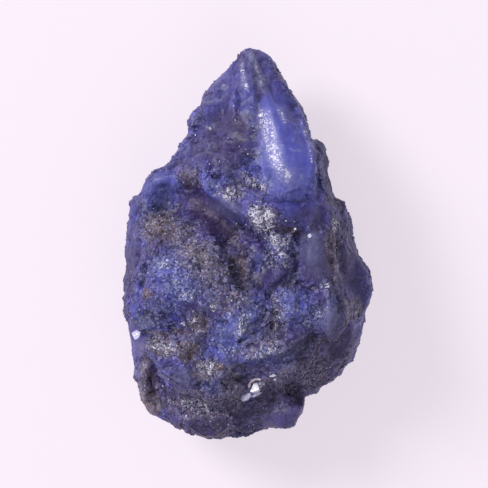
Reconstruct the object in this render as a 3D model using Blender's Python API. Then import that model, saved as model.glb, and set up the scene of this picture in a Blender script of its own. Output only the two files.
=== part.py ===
"""A rough blue sapphire: one broken, lumpy piece of corundum with a pointed end.

It lies on its back on a small flat parting face. The face that is usually shown points up (+Z),
the pointed end points along +Y, and the origin is under the middle of its box, on that flat face.

The stone is worked out as a field that is negative inside the solid. Fracture faces cut the bulk,
lumps are joined to it, grooves and hollows are taken from it, and a round cage of vertices is then
drawn in until it lies on the field's surface. All lengths below are in millimetres.
"""

import math

import bmesh
import bpy
import numpy as np
from mathutils import Euler, Vector, noise

MM = 0.001

# Driving dimensions
LENGTH = 50.0
WIDTH = 32.3
THICKNESS = 21.5
GIRDLE_HEIGHT = 9.5
HEART = (0.0, -4.0, 10.0)

# The seat: how far the bulk is let down through the floor before the flat is cut
SEAT_CUT = 1.0
SEAT_SNAP = 0.01
SEAT_CALM = 0.35

# The sides bulge at the girdle and pass the silhouette a little, because the broken skin lies lower
SIDE_BULGE_RADIUS = 34.0
WALL_GROWTH = 0.1

# Rounding where two forms meet
FACE_ROUNDING = 1.1
GIRDLE_ROUNDING = 0.8
LUMP_ROUNDING = 0.7
RIDGE_ROUNDING = 1.0
GROOVE_ROUNDING = 0.9

# The cage that is drawn in onto the stone: quads along each edge of a cube, then each cut in four
CAGE_SEGMENTS = 30
CAGE_CLEARANCE = 12.0
MARCH_STEPS = 70
MARCH_SHARE = 0.7
COARSE_ROUNDS = 22
FINE_ROUNDS = 4
RELAX_SHARE = 0.5
PROBE = 0.02
LEAST_STEEPNESS = 0.2
LONGEST_STEP = 0.6

# Triangles kept once the skin is thinned out, most of them where it bends
KEPT_TRIANGLES = 9600
SHARP_ANGLE = 38.0

# Broken texture of the whole skin, coarse and fine: size of the facets and depth between their crests
SKIN_FACETS = ((4.4, 0.55), (1.9, 0.34))
SKIN_TURN = (0.6, 0.9, 0.4)
SKIN_MIDDLE = 0.55

# Crossing waves that sway every form a little
WAVE_SEED = 5
WAVE_COUNT = 9
WAVE_LENGTHS = (4.5, 10.0)
WAVE_HEIGHT = 0.20

# How much of a lump's shape comes from flat faces rather than from a ball
FLAT_SHARE = 0.72

# The silhouette seen from the shown side, clockwise from the pointed end
OUTLINE = [
    (0.4, 25.0), (2.9, 24.5), (3.8, 23.1), (5.3, 20.5), (6.8, 18.4), (8.2, 15.3), (8.5, 14.1),
    (9.5, 13.4), (10.4, 12.0), (10.7, 10.3), (10.3, 9.1), (10.8, 7.5), (11.5, 5.5), (12.5, 4.7),
    (13.2, 3.2), (13.8, 1.0), (15.3, -2.6), (16.1, -4.3), (16.2, -6.1), (15.4, -9.2), (15.1, -11.4),
    (14.5, -13.3), (13.6, -15.3), (12.3, -17.0), (11.2, -18.0), (9.7, -18.6), (8.6, -19.4),
    (7.7, -19.8), (7.5, -21.2), (6.8, -22.5), (5.3, -23.6), (1.9, -24.5), (-2.5, -25.0),
    (-5.4, -25.0), (-7.3, -24.7), (-9.7, -23.6), (-12.0, -21.9), (-13.4, -20.0), (-13.9, -17.2),
    (-14.5, -15.3), (-15.3, -11.2), (-16.1, -5.4), (-15.4, 0.5), (-15.4, 5.2), (-14.6, 6.1),
    (-13.5, 6.8), (-12.9, 7.9), (-11.9, 8.9), (-10.4, 9.8), (-9.4, 11.4), (-7.2, 14.5),
    (-7.6, 15.3), (-6.9, 16.7), (-6.0, 17.6), (-4.6, 20.2), (-4.1, 21.0), (-2.7, 22.4), (-1.0, 24.4),
]

# Fracture faces of the shown side: a point on the face, then its rise along +X and along +Y
SHOWN_FACES = {
    "crown": ((2.0, -6.0, 19.6), 0.03, -0.03),
    "upper_left_slope": ((1.5, 15.0, 17.0), 0.72, -0.56),
    "boss_slope": ((5.5, 9.0, 19.6), -0.10, -0.52),
    "upper_right_flank": ((9.3, 10.0, 17.2), -3.2, -0.85),
    "lower_right_flank": ((11.6, -2.0, 18.0), -2.1, -0.30),
    "left_shoulder": ((-12.6, 2.0, 14.6), 1.9, -0.15),
    "lower_left_flank": ((-13.0, -10.0, 14.5), 2.2, 0.25),
    "front_underside": ((0.0, -17.2, 18.2), -0.34, 0.90),
    "lower_right_corner": ((10.4, -12.6, 17.0), -1.15, 1.0),
    "lower_left_corner": ((-9.0, -17.5, 15.6), 0.75, 0.85),
}

# Fracture faces of the back, which rests: a point on the face, then its rise along +X and along +Y
BACK_FACES = {
    "seat": ((0.0, -4.0, -SEAT_CUT), 0.02, 0.01),
    "tip_back": ((1.0, 6.4, 0.5), 0.10, 0.46),
    "tip_left_back": ((-5.0, 8.0, 2.4), -0.72, 0.38),
    "left_back": ((-7.6, -3.0, 0.2), -0.86, -0.06),
    "lower_left_back": ((-7.2, -13.4, 0.8), -0.62, -0.62),
    "lower_back": ((0.0, -14.2, 0.2), 0.05, -0.84),
    "lower_right_back": ((7.6, -12.2, 0.9), 0.66, -0.74),
    "right_back": ((8.2, -4.0, 0.3), 0.95, 0.08),
    "upper_right_back": ((6.4, 4.5, 1.6), 1.05, 0.42),
}

SHOWN, BACK = 1, -1

# Lumps: side, centre (x, y), half sizes (x, y, z), turn about Z in degrees, height above the faces
LUMPS = {
    "tip_left_rib": (SHOWN, (-0.9, 17.8), (1.3, 5.2, 1.5), -8.0, 0.6),
    "tip_left_plate": (SHOWN, (-3.0, 18.6), (1.9, 3.2, 1.6), -26.0, 0.5),
    "shoulder_knob": (SHOWN, (-10.6, 7.6), (2.9, 2.3, 2.2), 25.0, 1.1),
    "shoulder_tooth": (SHOWN, (-13.2, 5.6), (2.0, 1.7, 2.4), 30.0, 0.9),
    "slope_knob": (SHOWN, (-7.0, 9.0), (1.9, 1.7, 1.7), 0.0, 0.8),
    "slope_pebble": (SHOWN, (-4.5, 12.4), (1.5, 1.4, 1.4), 0.0, 0.6),
    "slope_swell": (SHOWN, (-4.2, 8.6), (3.4, 2.8, 2.4), -20.0, 0.8),
    "slope_step": (SHOWN, (-1.2, 9.2), (2.0, 3.0, 1.8), 12.0, 0.7),
    "grey_ledge": (SHOWN, (-2.4, 5.4), (4.2, 2.0, 2.6), -34.0, 1.3),
    "glitter_lump": (SHOWN, (2.2, 3.2), (2.4, 3.6, 2.8), 28.0, 1.2),
    "under_boss_plate": (SHOWN, (7.3, 3.2), (3.6, 2.5, 2.2), 0.0, 0.3),
    "blue_face": (SHOWN, (4.2, -1.0), (3.3, 3.2, 2.8), 20.0, 0.9),
    "purple_knob": (SHOWN, (2.9, -4.4), (2.0, 1.6, 1.6), 0.0, 1.0),
    "slate_lump": (SHOWN, (8.6, -1.9), (2.5, 4.2, 3.0), 4.0, 0.8),
    "lower_slate_lump": (SHOWN, (10.4, -9.2), (2.5, 3.4, 2.8), 8.0, 0.8),
    "dome": (SHOWN, (-5.8, -6.4), (8.8, 8.8, 6.8), -18.0, 1.2),
    "dome_brow": (SHOWN, (-8.4, 0.9), (4.8, 2.3, 3.0), -26.0, 0.7),
    "dome_crest": (SHOWN, (-3.2, -2.4), (3.4, 2.8, 2.6), -40.0, 1.8),
    "dome_cheek": (SHOWN, (-9.6, -5.6), (3.4, 3.9, 3.0), 15.0, 1.2),
    "dome_lobe": (SHOWN, (-9.4, -12.6), (4.8, 5.2, 4.4), 12.0, 1.1),
    "lower_lobe": (SHOWN, (-4.6, -16.2), (5.6, 4.0, 3.8), -4.0, 1.0),
    "streak_ledge": (SHOWN, (-1.5, -11.2), (1.7, 4.0, 2.0), -16.0, 1.3),
    "plateau_left": (SHOWN, (1.6, -8.4), (2.8, 3.2, 2.4), 10.0, 0.6),
    "plateau_right": (SHOWN, (6.4, -8.6), (3.3, 3.6, 2.6), -20.0, 0.8),
    "plateau_low": (SHOWN, (4.6, -12.8), (4.1, 2.4, 2.4), 18.0, 0.8),
    "rim_lump": (SHOWN, (-12.7, -19.0), (1.6, 3.4, 3.4), 12.0, 0.4),
    "bottom_knob": (SHOWN, (4.4, -21.2), (3.9, 2.7, 3.4), 10.0, 0.9),
    "bottom_left_swell": (SHOWN, (-4.6, -22.4), (4.8, 2.6, 3.2), -3.0, 0.6),
    "right_knob_high": (SHOWN, (9.3, 11.2), (1.6, 3.0, 3.2), 6.0, -2.6),
    "right_knob_middle": (SHOWN, (12.4, 2.2), (1.8, 3.8, 3.4), 14.0, -1.4),
    "right_knob_low": (SHOWN, (14.1, -5.4), (2.4, 4.2, 3.6), 4.0, -0.4),
    "back_ridge": (BACK, (2.4, 11.5), (3.2, 6.8, 2.8), 8.0, 0.8),
    "back_left_lump": (BACK, (-9.6, 1.4), (3.6, 4.0, 2.8), 20.0, 0.9),
    "back_lower_lump": (BACK, (-6.4, -17.4), (4.6, 3.4, 3.0), -12.0, 0.9),
    "back_right_lump": (BACK, (11.2, -7.2), (3.0, 4.8, 2.8), 0.0, 0.9),
    "back_shelf": (BACK, (6.6, -18.0), (3.8, 2.8, 2.6), 24.0, 0.7),
}

# Rounded ridges of the shown side: route (x, y, radius), height above the faces
RIDGES = {
    "boss": ([(1.5, 19.6, 1.2), (3.3, 15.4, 2.5), (5.3, 9.8, 4.0)], 1.5),
    "tip_ridge": ([(0.7, 23.6, 1.0), (1.3, 19.4, 1.3)], 0.7),
    "tip_right_swell": ([(2.6, 21.6, 1.4), (4.9, 18.0, 1.6)], 0.4),
}

# Grooves: side, route (x, y), radius, depth below the surface that they cut
GROOVES = {
    "diagonal_valley": (
        SHOWN,
        [(-10.4, 5.4), (-7.6, 5.6), (-5.4, 3.9), (-2.6, 1.7), (-0.3, -0.5), (1.0, -3.2)],
        2.3,
        1.9,
    ),
    "valley_mouth": (SHOWN, [(-13.0, 2.8), (-10.4, 4.4)], 1.2, 0.5),
    "boss_left_groove": (
        SHOWN,
        [(1.3, 19.2), (1.4, 16.4), (1.0, 13.2), (0.6, 10.2), (1.5, 7.6)],
        1.1,
        0.6,
    ),
    "slope_hollow": (SHOWN, [(-1.2, 14.0), (-1.6, 11.2)], 2.0, 0.7),
    "boss_foot": (SHOWN, [(3.2, 5.9), (6.0, 5.0), (9.2, 5.3)], 1.3, 0.5),
    "boss_right_edge": (
        SHOWN,
        [(8.3, 15.0), (9.3, 11.5), (9.6, 8.0), (9.9, 4.0), (10.8, 0.4), (11.3, -4.4)],
        0.9,
        0.4,
    ),
    "dark_pit": (SHOWN, [(3.9, 1.6), (5.6, 1.7), (7.0, 1.4)], 1.3, 0.8),
    "slate_left_crease": (SHOWN, [(6.4, 0.4), (6.5, -3.4)], 1.0, 0.4),
    "slate_foot": (SHOWN, [(6.0, -5.4), (8.0, -5.5), (9.4, -6.8), (9.0, -10.0)], 1.1, 0.5),
    "lower_slate_foot": (SHOWN, [(8.8, -12.6), (10.6, -12.5), (12.2, -11.4)], 1.3, 0.6),
    "flank_fold": (SHOWN, [(12.6, -0.6), (13.0, -5.0), (12.6, -10.0)], 1.3, 0.4),
    "dome_left_crease": (SHOWN, [(-11.4, -0.8), (-13.3, -3.2), (-14.4, -6.6)], 1.2, 0.5),
    "dome_waist": (SHOWN, [(-13.2, -9.6), (-10.4, -10.8), (-6.6, -11.0)], 1.4, 0.6),
    "dome_cross_crease": (SHOWN, [(-5.8, -9.6), (-5.2, -12.4), (-6.4, -15.4)], 1.1, 0.4),
    "left_band": (SHOWN, [(-12.6, -15.4), (-12.3, -17.8), (-11.6, -20.4)], 1.3, 0.8),
    "underside_crease": (
        SHOWN,
        [(-5.6, -18.2), (-2.4, -17.9), (0.6, -17.2), (3.6, -16.0), (6.8, -14.6)],
        1.8,
        0.5,
    ),
    "plateau_crease": (SHOWN, [(2.4, -11.2), (3.8, -9.4), (3.9, -6.2)], 1.1, 0.35),
    "spur_notch": (SHOWN, [(-7.6, 14.2), (-6.2, 13.8)], 0.9, 0.9),
    "knob_gap": (SHOWN, [(7.7, -19.6), (5.6, -18.8)], 1.1, 0.9),
    "back_valley": (BACK, [(-12.0, 5.6), (-5.6, 6.6), (1.0, 4.6), (5.4, 5.8), (10.0, 3.4)], 1.8, 0.9),
    "back_crease": (BACK, [(7.6, -12.6), (9.4, -15.4), (7.4, -20.6)], 1.5, 0.8),
    "back_left_crease": (BACK, [(-10.4, -6.6), (-9.2, -12.0), (-10.8, -16.2)], 1.4, 0.7),
}

# Where the skin is glassy smooth, on the shown side: centre (x, y) and half sizes (x, y)
SMOOTH_AREAS = [
    ((5.4, 10.6), (4.0, 6.0)),
    ((3.4, 17.0), (3.0, 5.0)),
    ((1.0, 21.8), (3.6, 3.6)),
    ((8.6, -2.0), (1.8, 3.2)),
    ((-2.4, 4.8), (2.6, 1.6)),
]
SMOOTH_SHARE = 0.75
SMOOTH_CORE = 0.45
SMOOTH_EDGE = 1.2

SAPPHIRE_COLOUR = (0.075, 0.070, 0.235, 1.0)
SAPPHIRE_ROUGHNESS = 0.38


def clear_scene():
    """Removes whatever the file opened with."""
    for thing in list(bpy.data.objects):
        bpy.data.objects.remove(thing, do_unlink=True)


def soft_min(first, second, rounding):
    """The lesser of two fields, rounded where they cross."""
    near = np.maximum(rounding - np.abs(first - second), 0.0) / rounding
    return np.minimum(first, second) - near * near * rounding / 4


def soft_max(first, second, rounding):
    """The greater of two fields, rounded where they cross."""
    return -soft_min(-first, -second, rounding)


def squared_length(vectors):
    return np.einsum("ij,ij->i", vectors, vectors)


def nearest_on_line(points, start, end):
    """From each point's nearest place on the line from start to end, the way to the point."""
    along = end - start
    away = points - start
    share = np.clip(away @ along / (along @ along), 0.0, 1.0)
    return away - share[:, None] * along


def outline_distance(points):
    """Distance from the silhouette in plan, negative inside it."""
    corners = np.array(OUTLINE)
    plan = points[:, :2]
    nearest = np.full(len(points), np.inf)
    inside = np.zeros(len(points), bool)
    for start, end in zip(corners, np.roll(corners, -1, axis=0)):
        nearest = np.minimum(nearest, squared_length(nearest_on_line(plan, start, end)))
        if start[1] == end[1]:
            continue
        crosses = (start[1] > plan[:, 1]) != (end[1] > plan[:, 1])
        level = start[0] + (end[0] - start[0]) * (plan[:, 1] - start[1]) / (end[1] - start[1])
        inside ^= crosses & (plan[:, 0] < level)
    distance = np.sqrt(nearest)
    return np.where(inside, -distance, distance)


def faces_distance(points, faces, side):
    """Distance outside the rounded-off corner that a group of fracture faces makes."""
    field = None
    for (x, y, z), rise_x, rise_y in faces.values():
        level = z + rise_x * (points[:, 0] - x) + rise_y * (points[:, 1] - y)
        distance = side * (points[:, 2] - level) / math.hypot(1.0, rise_x, rise_y)
        field = distance if field is None else soft_max(field, distance, FACE_ROUNDING)
    return field


def flat_ways():
    """The ways in which a lump's flat faces look: the corners of a dodecahedron, one of each pair."""
    golden = (1 + math.sqrt(5)) / 2
    ways = [(1, side, lift) for side in (-1, 1) for lift in (-1, 1)]
    for side in (-1, 1):
        ways += [(0, side / golden, golden), (side / golden, golden, 0), (golden, 0, side / golden)]
    return np.array(ways) / math.sqrt(3)


FLAT_WAYS = flat_ways()


def lump_distance(points, centre, half_sizes, turn):
    """Roughly the distance from a lump, part ball and part flat faces, turned about the vertical."""
    cosine = math.cos(math.radians(turn))
    sine = math.sin(math.radians(turn))
    away = points - np.array(centre)
    across = away[:, 0] * cosine + away[:, 1] * sine
    along = away[:, 1] * cosine - away[:, 0] * sine
    scaled = np.stack([across, along, away[:, 2]], axis=1) / np.array(half_sizes)
    ball = np.linalg.norm(scaled, axis=1)
    flat = np.abs(scaled @ FLAT_WAYS.T).max(axis=1)
    steep = np.linalg.norm(scaled / np.array(half_sizes), axis=1) / np.maximum(ball, 1e-6)
    reach = ball + FLAT_SHARE * (flat - ball)
    return (reach - 1.0) / np.maximum(steep, 1e-6)


def route_distance(points, route):
    """Distance from a line through the route's points."""
    nearest = np.full(len(points), np.inf)
    for start, end in zip(route[:-1], route[1:]):
        nearest = np.minimum(nearest, squared_length(nearest_on_line(points, start, end)))
    return np.sqrt(nearest)


def ridge_distance(points, route, radii):
    """Distance from a ridge whose radius changes evenly from each point of its route to the next."""
    nearest = np.full(len(points), np.inf)
    for start, end, first, last in zip(route[:-1], route[1:], radii[:-1], radii[1:]):
        along = end - start
        share = np.clip((points - start) @ along / (along @ along), 0.0, 1.0)
        gap = np.linalg.norm(points - start - share[:, None] * along, axis=1)
        nearest = np.minimum(nearest, gap - first - (last - first) * share)
    return nearest


def surface_levels(field, plan, side):
    """Height of the field's surface over each (x, y), met from outside on that side."""
    start = THICKNESS + CAGE_CLEARANCE if side == SHOWN else -CAGE_CLEARANCE
    points = np.array([(x, y, start) for x, y in plan], float)
    for _ in range(MARCH_STEPS):
        points[:, 2] -= side * MARCH_SHARE * field(points)
    return points[:, 2]


class Stone:
    """The stone as a field: negative inside, zero on its surface and positive outside."""

    def __init__(self):
        self.waves = self.crossing_waves()
        self.lumps = []
        self.ridges = []
        self.grooves = []
        for side in (SHOWN, BACK):
            self.lumps += self.placed_lumps(side)
        self.ridges = self.placed_ridges()
        for side in (SHOWN, BACK):
            self.grooves += self.placed_grooves(side)

    @staticmethod
    def crossing_waves():
        """For each wave, how fast it turns along X, Y and Z, which way it pushes, and where it starts."""
        chance = np.random.default_rng(WAVE_SEED)
        ways = chance.normal(size=(2, WAVE_COUNT, 3))
        ways /= np.linalg.norm(ways, axis=2)[:, :, None]
        lengths = chance.uniform(*WAVE_LENGTHS, WAVE_COUNT)
        starts = chance.uniform(0, math.tau, WAVE_COUNT)
        return ways[0] * (math.tau / lengths)[:, None], ways[1] * WAVE_HEIGHT, starts

    def swayed(self, points):
        """The points pushed about by the waves, so that no form keeps a drawn edge."""
        turns, pushes, starts = self.waves
        return points + np.sin(points @ turns.T + starts) @ pushes

    def placed_lumps(self, side):
        """Each lump, with its top as far above the fracture faces as its entry says."""
        rows = [row for row in LUMPS.values() if row[0] == side]
        levels = surface_levels(self.bulk, [plan for _, plan, _, _, _ in rows], side)
        placed = []
        for (_, plan, half_sizes, turn, proud), level in zip(rows, levels):
            height = level + side * (proud - half_sizes[2])
            placed.append(((*plan, height), half_sizes, turn))
        return placed

    def placed_ridges(self):
        """Each ridge, with its crest as far above the fracture faces as its entry says."""
        placed = []
        for route, proud in RIDGES.values():
            levels = surface_levels(self.bulk, [(x, y) for x, y, _ in route], SHOWN)
            crest = [(x, y, level + proud - radius) for (x, y, radius), level in zip(route, levels)]
            placed.append((np.array(crest), [radius for _, _, radius in route]))
        return placed

    def placed_grooves(self, side):
        """Each groove, set so that it cuts to its depth below the lumps and faces."""
        rows = [row for row in GROOVES.values() if row[0] == side]
        plans = [plan for _, route, _, _ in rows for plan in route]
        levels = iter(surface_levels(self.with_lumps, plans, side))
        placed = []
        for _, route, radius, depth in rows:
            sunk = [(x, y, next(levels) + side * (radius - depth)) for x, y in route]
            placed.append((np.array(sunk), radius))
        return placed

    def bulk(self, points):
        """The fracture faces inside the silhouette, before lumps and grooves."""
        swayed = self.swayed(points)
        shown = faces_distance(swayed, SHOWN_FACES, SHOWN)
        back = faces_distance(swayed, BACK_FACES, BACK)
        bulge = (points[:, 2] - GIRDLE_HEIGHT) ** 2 / (2 * SIDE_BULGE_RADIUS)
        wall = outline_distance(points) + bulge - WALL_GROWTH
        return soft_max(soft_max(shown, back, GIRDLE_ROUNDING), wall, FACE_ROUNDING)

    def with_lumps(self, points):
        """The bulk with every lump and ridge grown onto it, none of them past the silhouette."""
        field = self.bulk(points)
        swayed = self.swayed(points)
        for centre, half_sizes, turn in self.lumps:
            field = soft_min(field, lump_distance(swayed, centre, half_sizes, turn), LUMP_ROUNDING)
        for route, radii in self.ridges:
            field = soft_min(field, ridge_distance(points, route, radii), RIDGE_ROUNDING)
        return soft_max(field, outline_distance(points) - WALL_GROWTH, LUMP_ROUNDING)

    def whole(self, points):
        """The whole stone, with its grooves and hollows taken away."""
        field = self.with_lumps(points)
        swayed = self.swayed(points)
        for route, radius in self.grooves:
            field = soft_max(field, radius - route_distance(swayed, route), GROOVE_ROUNDING)
        return field

    def drawn_in(self, points):
        """The points moved onto the surface by the shortest way, a little at a time."""
        here = self.whole(points)
        probes = np.eye(3) * PROBE
        growth = np.stack([(self.whole(points + probe) - here) / PROBE for probe in probes], axis=1)
        steepness = np.maximum(squared_length(growth), LEAST_STEEPNESS)
        move = growth * (here / steepness)[:, None]
        length = np.maximum(np.linalg.norm(move, axis=1), 1e-9)
        return points - move * np.minimum(1.0, LONGEST_STEP / length)[:, None]


def positions(cage):
    return np.array([vertex.co for vertex in cage.verts])


def set_positions(cage, points):
    for vertex, point in zip(cage.verts, points):
        vertex.co = Vector(point)


def round_cage():
    """A cube cut into an even grid and blown up to a ball round the stone's heart."""
    cage = bmesh.new()
    bmesh.ops.create_cube(cage, size=2.0)
    bmesh.ops.subdivide_edges(cage, edges=cage.edges[:], cuts=CAGE_SEGMENTS - 1, use_grid_fill=True)
    half = np.array([WIDTH / 2, LENGTH / 2, THICKNESS / 2]) + CAGE_CLEARANCE
    spread = np.tan(positions(cage) * math.pi / 4)
    ball = spread / np.linalg.norm(spread, axis=1)[:, None]
    set_positions(cage, np.array(HEART) + ball * half)
    return cage


def march_in(cage, stone):
    """Draws the ball in along its rays until it meets the stone."""
    points = positions(cage)
    ways = np.array(HEART) - points
    ways /= np.linalg.norm(ways, axis=1)[:, None]
    for _ in range(MARCH_STEPS):
        points = points + ways * (MARCH_SHARE * stone.whole(points))[:, None]
    set_positions(cage, points)


def relax(cage, stone, rounds):
    """Evens the faces out while they stay on the surface."""
    every_axis = {"use_axis_x": True, "use_axis_y": True, "use_axis_z": True}
    for _ in range(rounds):
        bmesh.ops.smooth_vert(cage, verts=cage.verts, factor=RELAX_SHARE, **every_axis)
        set_positions(cage, stone.drawn_in(stone.drawn_in(positions(cage))))


def skin_share(point):
    """How much of the broken texture a point takes: none round the seat, little on a glassy area."""
    if point.z < SEAT_CALM:
        return 0.0
    if point.z < GIRDLE_HEIGHT:
        return 1.0
    calm = 0.0
    for (x, y), (half_x, half_y) in SMOOTH_AREAS:
        reach = math.hypot((point.x - x) / half_x, (point.y - y) / half_y)
        calm = max(calm, (SMOOTH_EDGE - reach) / (SMOOTH_EDGE - SMOOTH_CORE))
    return 1.0 - SMOOTH_SHARE * min(1.0, calm)


def broken_rise(point):
    """Height of the broken skin: facets that meet in creases, coarse ones with finer ones on them."""
    rise = 0.0
    for size, depth in SKIN_FACETS:
        nearest = noise.voronoi(point / size, distance_metric="MANHATTAN")[0][0]
        rise -= depth * (nearest - SKIN_MIDDLE)
    return rise


def break_skin(cage):
    """Moves each vertex along its normal by the height of the broken skin."""
    cage.normal_update()
    turn = Euler(SKIN_TURN).to_matrix()
    moves = [
        vertex.normal * broken_rise(turn @ vertex.co) * skin_share(vertex.co) for vertex in cage.verts
    ]
    for vertex, move in zip(cage.verts, moves):
        vertex.co += move


def mesh_of(cage):
    mesh = bpy.data.meshes.new("rough_sapphire")
    cage.to_mesh(mesh)
    cage.free()
    return mesh


def thinned_out(mesh):
    """The same skin with fewer triangles, as a new cage."""
    helper = bpy.data.objects.new("skin", mesh)
    bpy.context.scene.collection.objects.link(helper)
    modifier = helper.modifiers.new("Decimate", "DECIMATE")
    modifier.ratio = KEPT_TRIANGLES / (2 * len(mesh.polygons))
    cage = bmesh.new()
    cage.from_object(helper, bpy.context.evaluated_depsgraph_get())
    bpy.data.objects.remove(helper, do_unlink=True)
    bpy.data.meshes.remove(mesh)
    return cage


def cut_seat(cage):
    """Cuts the back flat at the floor, so that the stone rests on one plane face."""
    everything = cage.verts[:] + cage.edges[:] + cage.faces[:]
    floor = {"plane_co": (0.0, 0.0, 0.0), "plane_no": (0.0, 0.0, -1.0)}
    cut = bmesh.ops.bisect_plane(cage, geom=everything, dist=SEAT_SNAP, clear_outer=True, **floor)
    rim = [piece for piece in cut["geom_cut"] if isinstance(piece, bmesh.types.BMEdge)]
    bmesh.ops.holes_fill(cage, edges=rim)
    for vertex in cage.verts:
        if vertex.co.z < 2 * SEAT_SNAP:
            vertex.co.z = 0.0


def centre_on_origin(cage):
    """Slides the stone so that the middle of its box stands over the origin."""
    points = positions(cage)
    middle = (points.min(axis=0) + points.max(axis=0)) / 2
    bmesh.ops.translate(cage, verts=cage.verts, vec=(-middle[0], -middle[1], 0.0))


def sapphire_material():
    material = bpy.data.materials.new("sapphire")
    material.use_nodes = True
    shader = material.node_tree.nodes["Principled BSDF"]
    shader.inputs["Base Color"].default_value = SAPPHIRE_COLOUR
    shader.inputs["Roughness"].default_value = SAPPHIRE_ROUGHNESS
    shader.inputs["Metallic"].default_value = 0.0
    material.diffuse_color = SAPPHIRE_COLOUR
    return material


def rough_sapphire():
    """The stone as one closed mesh, in metres."""
    stone = Stone()
    cage = round_cage()
    march_in(cage, stone)
    relax(cage, stone, COARSE_ROUNDS)
    bmesh.ops.subdivide_edges(cage, edges=cage.edges[:], cuts=1, use_grid_fill=True)
    relax(cage, stone, FINE_ROUNDS)
    break_skin(cage)
    cage = thinned_out(mesh_of(cage))
    cut_seat(cage)
    centre_on_origin(cage)
    bmesh.ops.triangulate(cage, faces=cage.faces[:])
    bmesh.ops.recalc_face_normals(cage, faces=cage.faces[:])
    bmesh.ops.scale(cage, verts=cage.verts, vec=(MM, MM, MM))
    mesh = mesh_of(cage)
    mesh.shade_smooth()
    mesh.set_sharp_from_angle(angle=math.radians(SHARP_ANGLE))
    mesh.materials.append(sapphire_material())
    return bpy.data.objects.new("rough_sapphire", mesh)


clear_scene()
parts = bpy.data.collections.new("rough_blue_sapphire")
bpy.context.scene.collection.children.link(parts)
parts.objects.link(rough_sapphire())
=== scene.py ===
"""Looks of the rough blue sapphire, laid out as a Blender add-on and run as a script.

The stone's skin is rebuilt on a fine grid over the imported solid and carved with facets, grains,
ribs and cracks. Broken flakes, grains and mica specks are scattered over it, mica plates are set in
it, and a plain studio is put round it. Lengths in the tables below are in millimetres, seen from
straight above: +X to the right of the shown side, +Y towards the pointed end.
"""

import math

import bmesh
import bpy
import numpy as np
from bpy.props import FloatProperty, FloatVectorProperty, IntProperty, PointerProperty
from mathutils import Matrix, Vector, noise
from mathutils.bvhtree import BVHTree


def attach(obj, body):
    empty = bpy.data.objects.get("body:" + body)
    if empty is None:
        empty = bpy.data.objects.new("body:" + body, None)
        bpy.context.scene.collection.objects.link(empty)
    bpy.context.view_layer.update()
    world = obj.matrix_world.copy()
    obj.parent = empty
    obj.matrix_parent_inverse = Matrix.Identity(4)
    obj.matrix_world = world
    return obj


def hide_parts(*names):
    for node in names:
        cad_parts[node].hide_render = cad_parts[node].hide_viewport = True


bl_info = {
    "name": "Rough blue sapphire",
    "version": (1, 0, 0),
    "blender": (4, 5, 0),
    "location": "View3D > Sidebar > Sapphire",
    "description": "Makes an uncut blue sapphire with a broken, mica-flecked skin",
    "category": "Add Mesh",
}

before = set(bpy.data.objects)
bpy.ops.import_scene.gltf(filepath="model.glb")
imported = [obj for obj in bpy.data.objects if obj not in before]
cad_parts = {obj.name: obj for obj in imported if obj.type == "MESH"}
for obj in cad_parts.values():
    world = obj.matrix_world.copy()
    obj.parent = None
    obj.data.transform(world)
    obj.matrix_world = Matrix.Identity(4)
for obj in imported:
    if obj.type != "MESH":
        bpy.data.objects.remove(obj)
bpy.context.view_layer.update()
STONE_NODE = "rough_sapphire"
BODY = "root"
MM = 0.001

# Carving of the broken skin, in millimetres: how wide each kind of form is and how deep
FACET_SIZE, FACET_DEPTH = 2.1, 0.55
FLAKE_SIZE, FLAKE_DEPTH = 0.95, 0.34
BROAD_SIZE, BROAD_DEPTH = 2.6, 0.16
CRUMB_SIZE, CRUMB_DEPTH = 0.6, 0.05
GRAIN_SIZE, GRAIN_DEPTH = 0.55, 0.07
SWELL_SIZE, SWELL_DEPTH = 1.3, 0.05
RIB_LENGTH, RIB_WIDTH, RIB_DRIFT = 5.5, 0.62, 3.0

# Soft noise stays within about 0.6, and this brings it up to 1
NOISE_GAIN = 1.6

# Rounds of smoothing that the skin gets before it is carved, in its glassy and its broken parts
GLASSY_ROUNDS, BROKEN_ROUNDS = 26, 7

# Multipliers that give each cell its own random draws, for its lean and for its tones
LEAN_DRAW, TONE_DRAW = 31.7, 17.3

# An area is full out to the second of these shares of its half sizes, and gone at the first
AREA_FADE = (1.35, 0.45)

# The skin counts as shown from the first of these heights, in millimetres, and fully at the second
SHOWN_HEIGHTS = (4.0, 8.0)

# Where the origin lies in the tables' plan
ORIGIN_IN_PLAN = np.array([0.17, -0.175])

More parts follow.
